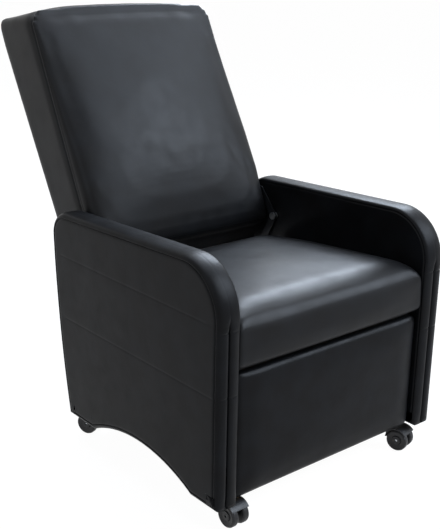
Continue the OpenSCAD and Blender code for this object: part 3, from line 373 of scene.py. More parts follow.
def panel_path(sizes):
    """Outline of a side panel as depth and height, clockwise from its front bottom corner.

    Returns the points and, for each, whether it lies on the bottom edge."""
    low, high = COVER_LOW.z, COVER_HIGH.z
    front_r, rear_r = sizes.arm_front_radius, sizes.arm_rear_radius
    depth, foot = sizes.panel_depth, sizes.panel_foot_depth
    corner = high - front_r
    even = np.linspace(low, corner, round((corner - low) / PATH_STEP))
    extra = [z + row for z in band_creases(sizes) for row in CREASE_ROWS]
    heights = sorted(set(even) | {z for z in extra if z < corner - PATH_STEP})
    heights = [z for i, z in enumerate(heights) if i == 0 or z - heights[i - 1] > LEAST_STEP]
    points = [(0.0, z) for z in heights]

    def arc(middle, radius, first, last, skip=0):
        count = max(4, round(abs(math.radians(last - first)) * radius / PATH_STEP))
        return [(middle[0] + radius * math.cos(a), middle[1] + radius * math.sin(a))
                for a in np.radians(np.linspace(first, last, count + 1))][skip:]

    def line(start, end, bow=0.0):
        count = round(math.dist(start, end) / PATH_STEP)
        return [(start[0] + (end[0] - start[0]) * k + 4 * bow * k * (1 - k),
                 start[1] + (end[1] - start[1]) * k) for k in np.linspace(0, 1, count + 1)[1:]]

    top_rear = (depth - rear_r, high - sizes.arm_drop)
    points += arc((front_r, corner), front_r, 180, 90, 1)
    points += line((front_r, high), top_rear)
    points += arc((top_rear[0], top_rear[1] - rear_r), rear_r, 90, 0, 1)
    points += line((depth, top_rear[1] - rear_r), (foot, low), sizes.rear_bow)
    bottom_start = len(points) - 1
    half, rise = sizes.arch_length / 2, sizes.arch_height
    radius = (half ** 2 + rise ** 2) / (2 * rise)
    turn = math.degrees(math.asin(half / radius))
    arch = arc((sizes.arch_middle, low + rise - radius), radius, 90 - turn, 90 + turn)
    points += line((foot, low), arch[0]) + arch[1:]
    points += line(arch[-1], (0.0, low))[:-1]
    on_bottom = [i == 0 or i >= bottom_start for i in range(len(points))]
    return np.array(points), np.array(on_bottom)


def inset_path(path, distance):
    """The closed outline moved inwards, by one distance or by one for each point."""
    before = path - np.roll(path, 1, 0)
    after = np.roll(path, -1, 0) - path
    before /= np.linalg.norm(before, axis=1)[:, None]
    after /= np.linalg.norm(after, axis=1)[:, None]
    side = np.stack([before[:, 1] + after[:, 1], -before[:, 0] - after[:, 0]], 1)
    lean = side[:, 0] * before[:, 1] - side[:, 1] * before[:, 0]
    return path + side * (np.broadcast_to(distance, len(path)) / lean)[:, None]


def inside_path(point, path):
    """Whether a point lies inside a closed outline."""
    x, y = point
    crossings = 0
    for (ax, ay), (bx, by) in zip(path, np.roll(path, -1, 0)):
        if (ay > y) != (by > y) and x < ax + (y - ay) * (bx - ax) / (by - ay):
            crossings += 1
    return crossings % 2 == 1


def band_points(path, on_bottom, side, sizes):
    """Points of a panel's band, one closed ring for each row of the section."""
    heights = path[:, 1]
    travel = np.concatenate([[0], np.cumsum(np.linalg.norm(np.diff(path, axis=0), axis=1))])
    at_front = (path[:, 0] < FRONT_EDGE) & ~on_bottom
    lobed = np.clip((sizes.upper_seam + LOBE_START - heights) / LOBE_FADE, 0, 1) * at_front
    creases = sum(hump(heights - z, CREASE_WIDTH) for z in band_creases(sizes)) * at_front
    crown = ARM_CROWN * np.clip((heights - COVER_LOW.z) / CROWN_TAPER, 0, 1) * ~on_bottom
    waves = PUCKER_DEPTH * np.sin(travel * PUCKER_WAVES + PUCKER_DRIFT * np.sin(travel * DRIFT_WAVES))
    points = []
    for share, inset in PANEL_SECTION:
        on_lobe = abs(2 * ((2 * share) % 1.0) - 1) if 0 < share < 1 else 1
        lobe = LOBE_DEPTH * on_lobe ** LOBE_POWER if LOBE_SHARES[0] < share < LOBE_SHARES[1] else inset
        middle_seam = MIDDLE_SEAM_DEPTH * hump((share - 0.5) * PANEL_THICKNESS, MIDDLE_SEAM_WIDTH)
        across = inset + lobed * (max(lobe, inset) - inset + middle_seam)
        puckers = waves * math.exp(-abs(inset - PIPING_INSET) / PUCKER_REACH) * (inset < PUCKER_LIMIT)
        band = math.sin(math.pi * min(1, max(0, (share - BAND_START_SHARE) / BAND_WIDTH_SHARE)))
        across = across + CREASE_DEPTH * creases * band ** 0.5 + puckers - crown * band ** 1.5
        x = side * (INNER_X + PANEL_THICKNESS * share)
        points += [(x, FRONT + y, z) for y, z in inset_path(path, across * MM)]
    return points


def face_net(path, sizes):
    """Points and triangles of a panel's flat face, and for each point the outline's point it is."""
    count = len(path)
    edge = inset_path(path, PANEL_SECTION[-1][1] * MM)
    keep = inset_path(path, FACE_INSET)
    columns = np.arange(keep[:, 0].min(), keep[:, 0].max(), FACE_STEP)
    levels = set(np.arange(keep[:, 1].min(), keep[:, 1].max(), FACE_STEP))
    for seam in (sizes.upper_seam, sizes.lower_seam):
        levels = {z for z in levels if abs(z - seam) > SEAM_CLEARANCE}
        levels |= {seam + row for row in SEAM_ROWS}
    inner = [Vector((y, z)) for z in sorted(levels) for y in columns if inside_path((y, z), keep)]
    loop = [(i, (i + 1) % count) for i in range(count)]
    # Output type 1 keeps the triangles inside the outline
    placed, _, cells, origins, _, _ = delaunay_2d_cdt(
        [Vector(p) for p in edge] + inner, loop, [], 1, 1e-7)
    on_edge = [source[0] if source and source[0] < count else None for source in origins]
    return placed, cells, on_edge


def press_face(mesh, side, sizes):
    """Presses the seams and the slight ripples into a panel's outer face."""
    places, _ = read_points(mesh)
    outside = np.clip((np.abs(places[:, 0]) - (OUTER_X - FACE_FADE)) / FACE_FADE, 0, 1)
    seams = sum(hump(places[:, 2] - z, SEAM_WIDTH) for z in (sizes.upper_seam, sizes.lower_seam))
    ripple = np.clip(0.5 + 0.5 * waver(places, RIPPLE_SIZE, 3 + side), 0, 1)
    places[:, 0] -= side * (SEAM_DEPTH * seams + RIPPLE_DEPTH * ripple) * outside
    write_points(mesh, places)


def panel_mesh(name, side, sizes):
    """One side panel's cover: a padded band in two lobes at the front, and two seamed faces."""
    path, on_bottom = panel_path(sizes)
    path[on_bottom, 1] -= sizes.bottom_wrap
    points = band_points(path, on_bottom, side, sizes)
    count, rows = len(path), len(PANEL_SECTION)
    faces = []
    for j in range(rows - 1):
        for i in range(count):
            k = (i + 1) % count
            faces.append((j * count + i, j * count + k, (j + 1) * count + k, (j + 1) * count + i))
    placed, cells, on_edge = face_net(path, sizes)
    for row, x in ((0, INNER_X), (rows - 1, OUTER_X)):
        where = []
        for (y, z), edge_point in zip(placed, on_edge):
            if edge_point is None:
                where.append(len(points))
                points.append((side * x, FRONT + y, z))
            else:
                where.append(row * count + edge_point)
        faces += [tuple(where[i] for i in cell) for cell in cells]
    mesh = mesh_from(name, points, faces)
    press_face(mesh, side, sizes)
    return mesh


# Padded pieces

# Settings of the cloth that a pad is blown up as, and the number of frames that it runs for
CLOTH = {
    "quality": 3, "mass": 0.3, "use_pressure": True, "uniform_pressure_force": 2.0,
    "tension_stiffness": 30, "compression_stiffness": 30, "bending_stiffness": 6,
}
CLOTH_FRAMES = 20
# Steps between held and free, and rounds that even out the swell between neighbours
HOLD_LEVELS = 10
SWELL_ROUNDS = 24
# How far beside its frame a cushion's cover is held, and the distance over which it becomes free
FRAME_MARGIN = 2 * MM
HOLD_FADE = 24 * MM
# The cushions' cover: size of its voxels, how far inside the pad it starts, and its most swell
CUSHION_BLOW = mm(6.5, 3, 5)
FOOTREST_BLOW = mm(6, 1.5, 3)
# How far a cover may stand proud of its pad at the front
PROUD = 3 * MM
# A distance past every edge of a pad, for a held box that is open on most sides
FAR = 1.0


def refine(obj, near):
    """Splits the faces near a seam, so that its groove is smooth."""
    work = bmesh.new()
    work.from_mesh(obj.data)
    work.faces.ensure_lookup_table()
    middles = np.array([face.calc_center_median() for face in work.faces])
    edges = {edge for face, close in zip(work.faces, near(middles)) if close for edge in face.edges}
    bmesh.ops.subdivide_edges(work, edges=list(edges), cuts=1, use_grid_fill=True, smooth=0.0)
    bmesh.ops.triangulate(work, faces=[face for face in work.faces if len(face.verts) > 4])
    work.to_mesh(obj.data)
    work.free()
    obj.data.shade_smooth()


def evened(mesh, values, rounds):
    """Values at a mesh's vertices, each time averaged half and half with their neighbours'."""
    edges = np.zeros(len(mesh.edges) * 2, np.int32)
    mesh.edges.foreach_get("vertices", edges)
    one, other = edges.reshape(-1, 2).T
    count = np.maximum(np.bincount(edges, minlength=len(values)), 1)[:, None]
    for _ in range(rounds):
        total = np.zeros_like(values)
        np.add.at(total, one, values[other])
        np.add.at(total, other, values[one])
        values = (values + total / count) / 2
    return values


def stretched(values, low, high):
    """One coordinate of a piece, stretched evenly so that it runs from low to high."""
    return low + (values - values.min()) * (high - low) / (values.max() - values.min())


def outside_box(places, low, high):
    """Distance of each place from a box, 0 inside it."""
    low, high = np.array(low), np.array(high)
    return np.linalg.norm(np.maximum(np.maximum(low - places, places - high), 0), axis=1)


def blown(obj, loose):
    """Places of the object's vertices once cloth and pressure have moved them, held where loose is 0."""
    held = obj.vertex_groups.new(name="Held")
    for level in range(1, HOLD_LEVELS + 1):
        members = np.nonzero(np.round((1 - loose) * HOLD_LEVELS) == level)[0]
        if len(members):
            held.add(members.tolist(), level / HOLD_LEVELS, "REPLACE")
    cloth = obj.modifiers.new("Cloth", "CLOTH")
    for setting, value in CLOTH.items():
        setattr(cloth.settings, setting, value)
    cloth.settings.vertex_group_mass = held.name
    cloth.settings.effector_weights.gravity = 0
    for step in range(1, CLOTH_FRAMES + 1):
        bpy.context.scene.frame_set(step)
    posed = obj.evaluated_get(bpy.context.evaluated_depsgraph_get())
    moved, _ = read_points(posed.to_mesh())
    posed.to_mesh_clear()
    obj.modifiers.clear()
    obj.vertex_groups.clear()
    bpy.context.scene.frame_set(1)
    return moved


def inflated(name, node, free, voxel, start_in, cap):
    """A CAD pad's mesh, remeshed and blown up as cloth, and held where free is 0.

    The cloth starts a little inside the pad, and takes no point further than the cap from its
    place on the pad's own surface."""
    obj = new_object(name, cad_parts[node].data.copy())
    remesh = obj.modifiers.new("Remesh", "REMESH")
    remesh.mode = "VOXEL"
    remesh.voxel_size = voxel
    apply_modifiers(obj)
    places, normals = read_points(obj.data)
    loose = free(places)
    write_points(obj.data, places - normals * (start_in * loose)[:, None])
    shift = blown(obj, loose) - places
    length = np.linalg.norm(shift, axis=1)
    shift *= np.minimum(1, cap / np.maximum(length, 1e-9))[:, None]
    write_points(obj.data, places + evened(obj.data, shift, SWELL_ROUNDS))
    smooth = obj.modifiers.new("Smooth", "SMOOTH")
    smooth.factor = 0.4
    smooth.iterations = 2
    fine = obj.modifiers.new("Subdivision", "SUBSURF")
    fine.levels = 1
    fine.render_levels = 1
    apply_modifiers(obj)
    return obj


# Blocks and straps

# Longest edge of a block and the most rounds of splitting, rounding of a foam block's edges, and
# the depth and size of the unevenness of a block's faces
BLOCK_EDGE = 30 * MM
BLOCK_ROUNDS = 5
FOAM_ROUNDING = 5 * MM
UNEVEN_DEPTH = 0.8 * MM
UNEVEN_SIZE = 60 * MM

# Section of a strap, in shares of its width and thickness
STRAP_SHARES = (
    (-0.5, 0), (-0.44, 0.5), (-0.3, 0.42), (-0.1, 0.5), (0.1, 0.42), (0.3, 0.5), (0.44, 0.5),
    (0.5, 0), (0.44, -0.5), (0.2, -0.42), (0, -0.5), (-0.2, -0.42), (-0.44, -0.5),
)
STRAP_STEP = 8 * MM
# How far the outer straps pass the CAD webbing's edges, and the cross straps' ends stay inside them
STRAP_OVERHANG = 4 * MM
STRAP_INSET = 4 * MM
# Numbers of straps, the height of the weave, the distance over which a strap passes another, and
# the belly of the back's straps
LONG_STRAPS = 5
CROSS_STRAPS = 4
BACK_STRAPS = 6
WEAVE_HEIGHT = 0.75 * MM
CROSSING_REACH = 45 * MM
STRAP_BELLY = 0.5 * MM


def block_mesh(name, low, high, rounding, seed):
    """A block with eased edges and slightly uneven faces."""
    work = bmesh.new()
    bmesh.ops.create_cube(work, size=1.0)
    middle, span = (low + high) / 2, high - low
    for vert in work.verts:
        vert.co = Vector([middle[i] + vert.co[i] * span[i] for i in range(3)])
    bmesh.ops.bevel(work, geom=work.edges[:], offset=rounding, segments=3, affect="EDGES", profile=0.5)
    for _ in range(BLOCK_ROUNDS):
        long_edges = [e for e in work.edges if e.calc_length() > BLOCK_EDGE]
        if not long_edges:
            break
        bmesh.ops.subdivide_edges(work, edges=long_edges, cuts=1, use_grid_fill=True)
    start = Vector((seed, 0, 0))
    for vert in work.verts:
        vert.co -= vert.normal * UNEVEN_DEPTH * (0.5 + 0.5 * noise.noise(vert.co / UNEVEN_SIZE + start))
    mesh = bpy.data.meshes.new(name)
    work.to_mesh(mesh)
    work.free()
    return mesh


def strap(points, faces, start, end, across, up, sizes, lift):
    """Adds one webbing strap, with its woven ribs, from start to end."""
    length = (end - start).length
    steps = max(8, round(length / STRAP_STEP))
    base, count = len(points), len(STRAP_SHARES)
    for i in range(steps + 1):
        share = i / steps
        middle = start + (end - start) * share + up * lift(share * length)
        points += [middle + across * sizes.strap_width * a + up * sizes.strap_thickness * b
                   for a, b in STRAP_SHARES]
    for i in range(steps):
        for j in range(count):
            k = (j + 1) % count
            a = base + i * count
            faces.append((a + j, a + k, a + count + k, a + count + j))
    faces.append(tuple(base + j for j in range(count)))
    faces.append(tuple(base + steps * count + j for j in range(count)))


def woven(crossings, flip):
    """Height of a strap along its length, over and under the straps that it crosses in turn."""
    middles = np.array(crossings)

    def lift(distance):
        near = int(np.argmin(np.abs(middles - distance)))
        sign = 1 if (near + flip) % 2 else -1
        passed = min(1, abs(middles[near] - distance) / CROSSING_REACH)
        return WEAVE_HEIGHT * sign * math.cos(passed * math.pi / 2)
    return lift


# The leaning back

# Box in which the back's cover is held on its frame, by its distances from the foot, from the top,
# and rearwards and forwards from the reference line
BACK_HELD_FOOT = 12 * MM
BACK_HELD_TOP = 15 * MM
BACK_HELD_REAR = 125 * MM
BACK_HELD_FRONT = 18 * MM
# Distance up the back where its cover starts to swell, and the stretch over which it does
SWELL_START = 15 * MM
SWELL_FADE = 60 * MM
# The crease between the back's side and front: half of the strip that is refined for it, the
# groove's half width and depth, and the place, half width and height of the lip in front of it
CREASE_STRIP = 12 * MM
GROOVE_WIDTH = 2.6 * MM
GROOVE_DEPTH = 4.0 * MM
LIP_FORWARD = 6.5 * MM
LIP_WIDTH = 3.0 * MM
LIP_HEIGHT = 1.6 * MM
# The crease shows on the sides, beyond this distance from the middle, and near the top
CREASE_SIDE = 225 * MM
CREASE_TOP = 30 * MM
# Corners of the block of painted shade at the back's foot, laid out upright: across, rearwards and up
# from the back's foot
PAINTED_SHADE_LOW = Vector(mm(-250, 50, -23))
PAINTED_SHADE_HIGH = Vector(mm(250, 85, -4))
PAINTED_SHADE_ROUNDING = 2 * MM


def back_axes(places, sizes):
    """Places as distance up the back and distance forward of its reference line."""
    lean = sizes.back_lean
    rise = places[:, 2] - sizes.back_foot_height
    depth = places[:, 1] - FRONT - sizes.back_foot_depth
    return (depth * math.sin(lean) + rise * math.cos(lean),
            rise * math.sin(lean) - depth * math.cos(lean))


def back_matrix(sizes):
    """Turns places laid out upright at the origin into places on the leaning back."""
    return (Matrix.Translation((0, FRONT + sizes.back_foot_depth, sizes.back_foot_height))
            @ Matrix.Rotation(-sizes.back_lean, 4, "X"))


# Sizes and looks that a user would change

def length_of(name, description, default):
    """A property that holds a length."""
    return FloatProperty(name=name, description=description, default=default, unit="LENGTH")


def colour_of(name, description, default):
    """A property that holds an sRGB colour."""
    return FloatVectorProperty(name=name, description=description, default=default, size=3,
                               subtype="COLOR_GAMMA")


class ChairSizes(bpy.types.PropertyGroup):
    """Sizes of the soft pieces, measured on the CAD model's own frame."""
    panel_depth: length_of("Panel depth", "Depth of a side panel at arm height", 0.585)
    panel_foot_depth: length_of("Panel foot depth", "Depth of a side panel at its foot", 0.537)
    arm_front_radius: length_of("Arm front radius", "Radius of the arm's front corner", 0.108)
    arm_rear_radius: length_of("Arm rear radius", "Radius of the arm's rear corner", 0.054)
    arm_drop: length_of("Arm drop", "Fall of the arm from front to rear", 0.016)
    rear_bow: length_of("Rear bow", "How far the rear edge bows outwards", 0.009)
    arch_length: length_of("Arch length", "Length of the arch in the bottom edge", 0.350)
    arch_height: length_of("Arch height", "Height of the arch", 0.042)
    arch_middle: length_of("Arch middle", "Depth of the arch's middle", 0.258)
    bottom_wrap: length_of("Bottom wrap", "Cover turned under the side board", 0.0012)
    upper_seam: length_of("Upper seam", "Height of the panel's upper cross seam", 0.445)
    lower_seam: length_of("Lower seam", "Height of the panel's lower cross seam", 0.300)
    seam_pair: length_of("Seam pair", "Distance between the band's upper creases", 0.014)
    seat_held: length_of("Seat hold", "Height up to which the seat's cover is held", 0.396)
    waterfall: length_of("Waterfall", "Fall of the seat's top at its front edge", 0.014)
    waterfall_reach: length_of("Waterfall reach", "Depth of the seat's rounded front", 0.070)
    back_lean: FloatProperty(name="Back lean", description="Lean of the back from upright",
                             default=math.radians(29.5), subtype="ANGLE")
    back_foot_depth: length_of("Back foot depth", "Depth of the foot of the back", 0.510)
    back_foot_height: length_of("Back foot height", "Height of the foot of the back", 0.433)
    back_length: length_of("Back length", "Length of the back along its slope", 0.583)
    # Top of the dark sheet of painted shade at the back's foot
    painted_shade_height: length_of("Lining height", "Top of the lining along the back", 0.008)
    crease_forward: length_of("Crease place", "Crease forward of the reference line", -0.0019)
    crease_rise: length_of("Crease rise", "How far the crease comes forward at the top", 0.032)
    strap_width: length_of("Strap width", "Width of one webbing strap", 0.050)
    strap_thickness: length_of("Strap thickness", "Thickness of one webbing strap", 0.0013)


class ChairLook(bpy.types.PropertyGroup):
    """Colours and grain of the finishes, and the studio."""
    leather_dark: colour_of("Leatherette, dark", "Darker tint of the leatherette", (0.046, 0.047, 0.052))
    leather_light: colour_of("Leatherette, light", "Its lighter tint", (0.064, 0.066, 0.073))
    leather_grain: length_of("Pebble size", "Width of one pebble of the grain", 0.0014)
    floor_colour: colour_of("Floor", "Colour of the studio floor", (0.93, 0.93, 0.94))
    floor_glow: FloatProperty(name="Floor glow", description="Share of the floor seen as plain white",
                              default=0.9, subtype="FACTOR")
    room_light: FloatProperty(name="Room light", description="Strength of the light from all round",
                              default=0.2)
    lamp_colour: FloatVectorProperty(name="Lamp colour", description="Colour of the softboxes",
                                     default=(0.76, 0.86, 1.0), size=3, subtype="COLOR")


# The chair's pieces

class CHAIR_OT_side_panels(bpy.types.Operator):
    """Make the two upholstered side panels"""
    bl_idname = "chair.side_panels"
    bl_label = "Side panels"

    def execute(self, context):
        sizes = context.scene.chair_sizes
        for side, word in ((-1, "left"), (1, "right")):
            mesh = panel_mesh(f"{word}_side_upholstery", side, sizes)
            obj = new_object(f"{word}_side_upholstery", mesh)
            dress(obj, "leatherette", "base", replaces=[f"{word}_side_cover"])
        return {"FINISHED"}


class CHAIR_OT_seat(bpy.types.Operator):
    """Make the seat's padded cover"""
    bl_idname = "chair.seat"
    bl_label = "Seat"
    # Clearance before and behind the frame, reach of the held box below the pad, and the most
    # that the cover swells up and rearwards
    frame_clearance = 3 * MM
    held_below = 20 * MM
    most_rise = 5 * MM
    rear_swell = 1 * MM
    # The turned-down edge: its thickness, its overlap with the cushion and its rounding
    turned_thickness = 2.6 * MM
    turned_overlap = 6 * MM
    turned_rounding = 0.5 * MM

    def execute(self, context):
        sizes = context.scene.chair_sizes
        half = FRAME_HIGH.x
        held_low = (-half - FRAME_MARGIN, FRAME_LOW.y - self.frame_clearance,
                    SEAT_LOW.z - self.held_below)
        held_high = (half + FRAME_MARGIN, FRAME_HIGH.y + self.frame_clearance, sizes.seat_held)

        def free(places):
            return np.clip(outside_box(places, held_low, held_high) / HOLD_FADE, 0, 1)

        obj = inflated("seat_upholstery", "seat_cushion", free, *CUSHION_BLOW)
        places, _ = read_points(obj.data)
        places[:, 0] = stretched(places[:, 0], SEAT_LOW.x, SEAT_HIGH.x)
        places[:, 1] = np.clip(places[:, 1], SEAT_LOW.y - PROUD, SEAT_HIGH.y + self.rear_swell)
        places[:, 2] = np.minimum(places[:, 2], SEAT_HIGH.z + self.most_rise)
        near_front = np.clip(1 - (places[:, 1] - SEAT_LOW.y) / sizes.waterfall_reach, 0, 1)
        height = np.clip((places[:, 2] - SEAT_LOW.z) / (SEAT_HIGH.z - SEAT_LOW.z), 0, 1)
        places[:, 2] -= sizes.waterfall * near_front ** 2 * height ** 2
        write_points(obj.data, places)
        # The cover is turned down over the front of the seat's frame
        front = FRAME_LOW.y - self.frame_clearance
        low = Vector((-half, front, FRAME_LOW.z))
        high = Vector((half, front + self.turned_thickness, SEAT_LOW.z + self.turned_overlap))
        join_mesh(obj.data, block_mesh("turned_down", low, high, self.turned_rounding, 4))
        dress(obj, "leatherette_soft", "base", replaces=["seat_cushion"])
        return {"FINISHED"}


class CHAIR_OT_back(bpy.types.Operator):
    """Make the back's boxed cushion, with its side crease and a dark matt sheet of painted shade over
    its foot
    """
    bl_idname = "chair.back"
    bl_label = "Back"

    def execute(self, context):
        sizes = context.scene.chair_sizes
        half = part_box("back_frame")[1].x + FRAME_MARGIN
        held_low = (-half, BACK_HELD_FOOT, -BACK_HELD_REAR)
        held_high = (half, sizes.back_length - BACK_HELD_TOP, BACK_HELD_FRONT)

        def free(places):
            along, forward = back_axes(places, sizes)
            laid_out = np.stack([places[:, 0], along, forward], 1)
            above_foot = np.clip((along - SWELL_START) / SWELL_FADE, 0, 1)
            return np.clip(outside_box(laid_out, held_low, held_high) / HOLD_FADE, 0, 1) * above_foot

        def from_crease(places):
            along, forward = back_axes(places, sizes)
            return forward - sizes.crease_forward - sizes.crease_rise * along / sizes.back_length

        obj = inflated("back_upholstery", "back_cushion", free, *CUSHION_BLOW)
        refine(obj, lambda places: np.abs(from_crease(places)) < CREASE_STRIP)
        places, normals = read_points(obj.data)
        along, _ = back_axes(places, sizes)
        ahead = from_crease(places)
        on_side = (np.abs(places[:, 0]) > CREASE_SIDE) | (along > sizes.back_length - CREASE_TOP)
        groove = hump(ahead, GROOVE_WIDTH) * on_side
        lip = hump(ahead - LIP_FORWARD, LIP_WIDTH) * on_side
        places -= normals * (GROOVE_DEPTH * groove - LIP_HEIGHT * lip)[:, None]
        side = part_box("back_cushion")[1].x
        places[:, 0] = stretched(places[:, 0], -side, side)
        write_points(obj.data, places)
        dress(obj, "leatherette_soft", "backrest", replaces=["back_cushion"])
        # The foot of the back, which tucks in behind the seat, is closed with a dead matt dark sheet:
        # painted shade where the back meets the seat
        lining = block_mesh("foot_painted_shade", PAINTED_SHADE_LOW, PAINTED_SHADE_HIGH, PAINTED_SHADE_ROUNDING, 5)
        lining.transform(back_matrix(sizes))
        join_mesh(obj.data, lining)
        obj.data.materials.append(FINISHES["lining"])
        # Faces below the sheet's top take its near-black matt finish, painting shade on the back's foot
        middles = np.array([face.center for face in obj.data.polygons])
        along, _ = back_axes(middles, sizes)
        obj.data.polygons.foreach_set("material_index", (along < sizes.painted_shade_height).astype(np.int32))
        return {"FINISHED"}


class CHAIR_OT_footrest(bpy.types.Operator):
    """Make the footrest's padded cover"""
    bl_idname = "chair.footrest"
    bl_label = "Footrest"
    # Depth of the pad that is held on the board, and the distance over which it becomes free
    held_depth = 8 * MM
    hold_fade = 10 * MM

    def execute(self, context):
        low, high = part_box("footrest_pad")
        held_low = (low.x - FAR, high.y - self.held_depth, low.z - FAR)
        held_high = (high.x + FAR, high.y + FAR, high.z + FAR)

        def free(places):
            return np.clip(outside_box(places, held_low, held_high) / self.hold_fade, 0, 1)

        obj = inflated("footrest_upholstery", "footrest_pad", free, *FOOTREST_BLOW)
        places, _ = read_points(obj.data)
        for axis in (0, 2):
            places[:, axis] = stretched(places[:, axis], low[axis], high[axis])
        places[:, 1] = np.clip(places[:, 1], low.y - PROUD, high.y)
        write_points(obj.data, places)
        dress(obj, "leatherette", "footrest", replaces=["footrest_pad"])
        return {"FINISHED"}


class CHAIR_OT_fillings(bpy.types.Operator):
    """Make the foam blocks of the seat and the back"""
    bl_idname = "chair.fillings"
    bl_label = "Foam fillings"

    def execute(self, context):
        sizes = context.scene.chair_sizes
        low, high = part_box("seat_foam")
        seat = new_object("seat_foam_block", block_mesh("seat_foam_block", low, high, FOAM_ROUNDING, 1))
        dress(seat, "foam", "base", replaces=["seat_foam"])
        places, _ = read_points(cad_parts["back_foam"].data)
        along, forward = back_axes(places, sizes)
        low = Vector((places[:, 0].min(), -forward.max(), along.min()))
        high = Vector((places[:, 0].max(), -forward.min(), along.max()))
        mesh = block_mesh("back_foam_block", low, high, FOAM_ROUNDING, 2)
        mesh.transform(back_matrix(sizes))
        back = new_object("back_foam_block", mesh)
        dress(back, "foam", "backrest", replaces=["back_foam"])
        return {"FINISHED"}


class CHAIR_OT_webbing(bpy.types.Operator):
    """Make the interlaced webbing under the seat and the straps of the back"""
    bl_idname = "chair.webbing"
    bl_label = "Webbing"

    def execute(self, context):
        sizes = context.scene.chair_sizes
        x_axis, y_axis, z_axis = Vector((1, 0, 0)), Vector((0, 1, 0)), Vector((0, 0, 1))
        low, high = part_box("seat_webbing")
        half, level = sizes.strap_width / 2, (low.z + high.z) / 2
        first = half - STRAP_OVERHANG
        long_x = np.linspace(low.x + first, high.x - first, LONG_STRAPS)
        cross_y = np.linspace(low.y + first, high.y - first, CROSS_STRAPS)
        left, right = low.x + STRAP_INSET, high.x - STRAP_INSET
        points, faces = [], []
        for i, x in enumerate(long_x):
            strap(points, faces, Vector((x, low.y, level)), Vector((x, high.y, level)), x_axis, z_axis,
                  sizes, woven(cross_y - low.y, i))
        for i, y in enumerate(cross_y):
            strap(points, faces, Vector((left, y, level)), Vector((right, y, level)), y_axis, z_axis,
                  sizes, woven(long_x - left, i + 1))
        obj = new_object("seat_straps", mesh_from("seat_straps", points, faces))
        dress(obj, "webbing", "base", replaces=["seat_webbing"])

        places, _ = read_points(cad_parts["back_webbing"].data)
        along, forward = back_axes(places, sizes)
        end = np.abs(places[:, 0]).max()
        level = -(forward.min() + forward.max()) / 2
        points, faces = [], []
        for z in np.linspace(along.min() + half, along.max() - half, BACK_STRAPS):
            strap(points, faces, Vector((-end, level, z)), Vector((end, level, z)), z_axis, y_axis,
                  sizes, lambda distance: STRAP_BELLY * math.sin(math.pi * distance / (2 * end)))
        mesh = mesh_from("back_straps", points, faces)
        mesh.transform(back_matrix(sizes))
        obj = new_object("back_straps", mesh)
        dress(obj, "webbing", "backrest", replaces=["back_webbing"])
        return {"FINISHED"}


class CHAIR_OT_hardware(bpy.types.Operator):
    """Finish the wooden, steel and nylon pieces"""
    bl_idname = "chair.hardware"
    bl_label = "Wood, steel and casters"

    def execute(self, context):
        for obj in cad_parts.values():
            if obj.hide_render:
                continue
            for slot in obj.material_slots:
                slot.material = FINISHES[slot.material.name.split(".")[0]]
        return {"FINISHED"}


# Studio

# Half width of the floor in metres
FLOOR_REACH = 40
# Strength of the floor's own white: a little over 1, as a share of its matt paint is mixed in
FLOOR_WHITE = 1.08
# Each softbox: name, place, the place that it faces, width in metres and power in watts
SOFTBOXES = (
    ("key_softbox", (2.1, -2.2, 2.8), (0, 0, 0.6), 2.2, 190),
    ("top_softbox", (0.2, 0.6, 3.2), (0, 0, 0.4), 2.4, 60),
    ("rear_softbox", (1.9, 1.1, 2.3), (0, 0, 0.4), 1.2, 110),
    ("left_fill", (-3.0, -1.2, 2.2), (0, 0, 0.4), 1.6, 12),
)
# Camera: focal length and sensor width in mm, place and furthest distance seen in metres, and its
# turn about the chair, climb and roll in degrees
LENS = 66.13
SENSOR = 36
CAMERA_PLACE = (-1.3605, -1.7059, 1.1050)
CAMERA_END = 50
CAMERA_ANGLES = (-39.9212, 18.2936, 0.9832)


def seen_background(tree):
    """1 on rays that show the background itself: from the camera, or through gloss or glass."""
    rays = add_node(tree, "ShaderNodeLightPath").outputs
    seen = rays["Is Camera Ray"]
    for ray in ("Is Glossy Ray", "Is Transmission Ray"):
        seen = add_node(tree, "ShaderNodeMath", {0: seen, 1: rays[ray]}, operation="MAXIMUM").outputs[0]
    return seen


def make_floor(look):
    """The floor: matt paint that takes the shadow, and mostly plain white where it is seen."""
    corners = [(x * FLOOR_REACH, y * FLOOR_REACH, 0) for x, y in ((-1, -1), (1, -1), (1, 1), (-1, 1))]
    floor = new_object("studio_floor", mesh_from("studio_floor", corners, [(0, 1, 2, 3)]))
    material = bpy.data.materials.new("Studio floor, matt paint")
    material.use_nodes = True
    tree = material.node_tree
    tree.nodes.clear()
    matt = add_node(tree, "ShaderNodeBsdfDiffuse", {"Color": linear(to_hex(look.floor_colour))})
    glow = add_node(tree, "ShaderNodeEmission", {"Color": WHITE, "Strength": FLOOR_WHITE})
    seen = add_node(tree, "ShaderNodeMath", {0: seen_background(tree), 1: look.floor_glow},
                    operation="MULTIPLY")
    mix = add_node(tree, "ShaderNodeMixShader", {0: seen.outputs[0], 1: matt.outputs[0],
                                                 2: glow.outputs[0]})
    add_node(tree, "ShaderNodeOutputMaterial", {"Surface": mix.outputs[0]})
    floor.data.materials.append(material)


def make_room(look):
    """The world: a dim light from all round, and plain white where it is seen."""
    world = bpy.data.worlds.new("Studio")
    bpy.context.scene.world = world
    world.use_nodes = True
    tree = world.node_tree
    tree.nodes.clear()
    dim = add_node(tree, "ShaderNodeBackground", {"Color": WHITE, "Strength": look.room_light})
    white = add_node(tree, "ShaderNodeBackground", {"Color": WHITE, "Strength": 1.0})
    mix = add_node(tree, "ShaderNodeMixShader", {0: seen_background(tree), 1: dim.outputs[0],
                                                 2: white.outputs[0]})
    add_node(tree, "ShaderNodeOutputWorld", {"Surface": mix.outputs[0]})


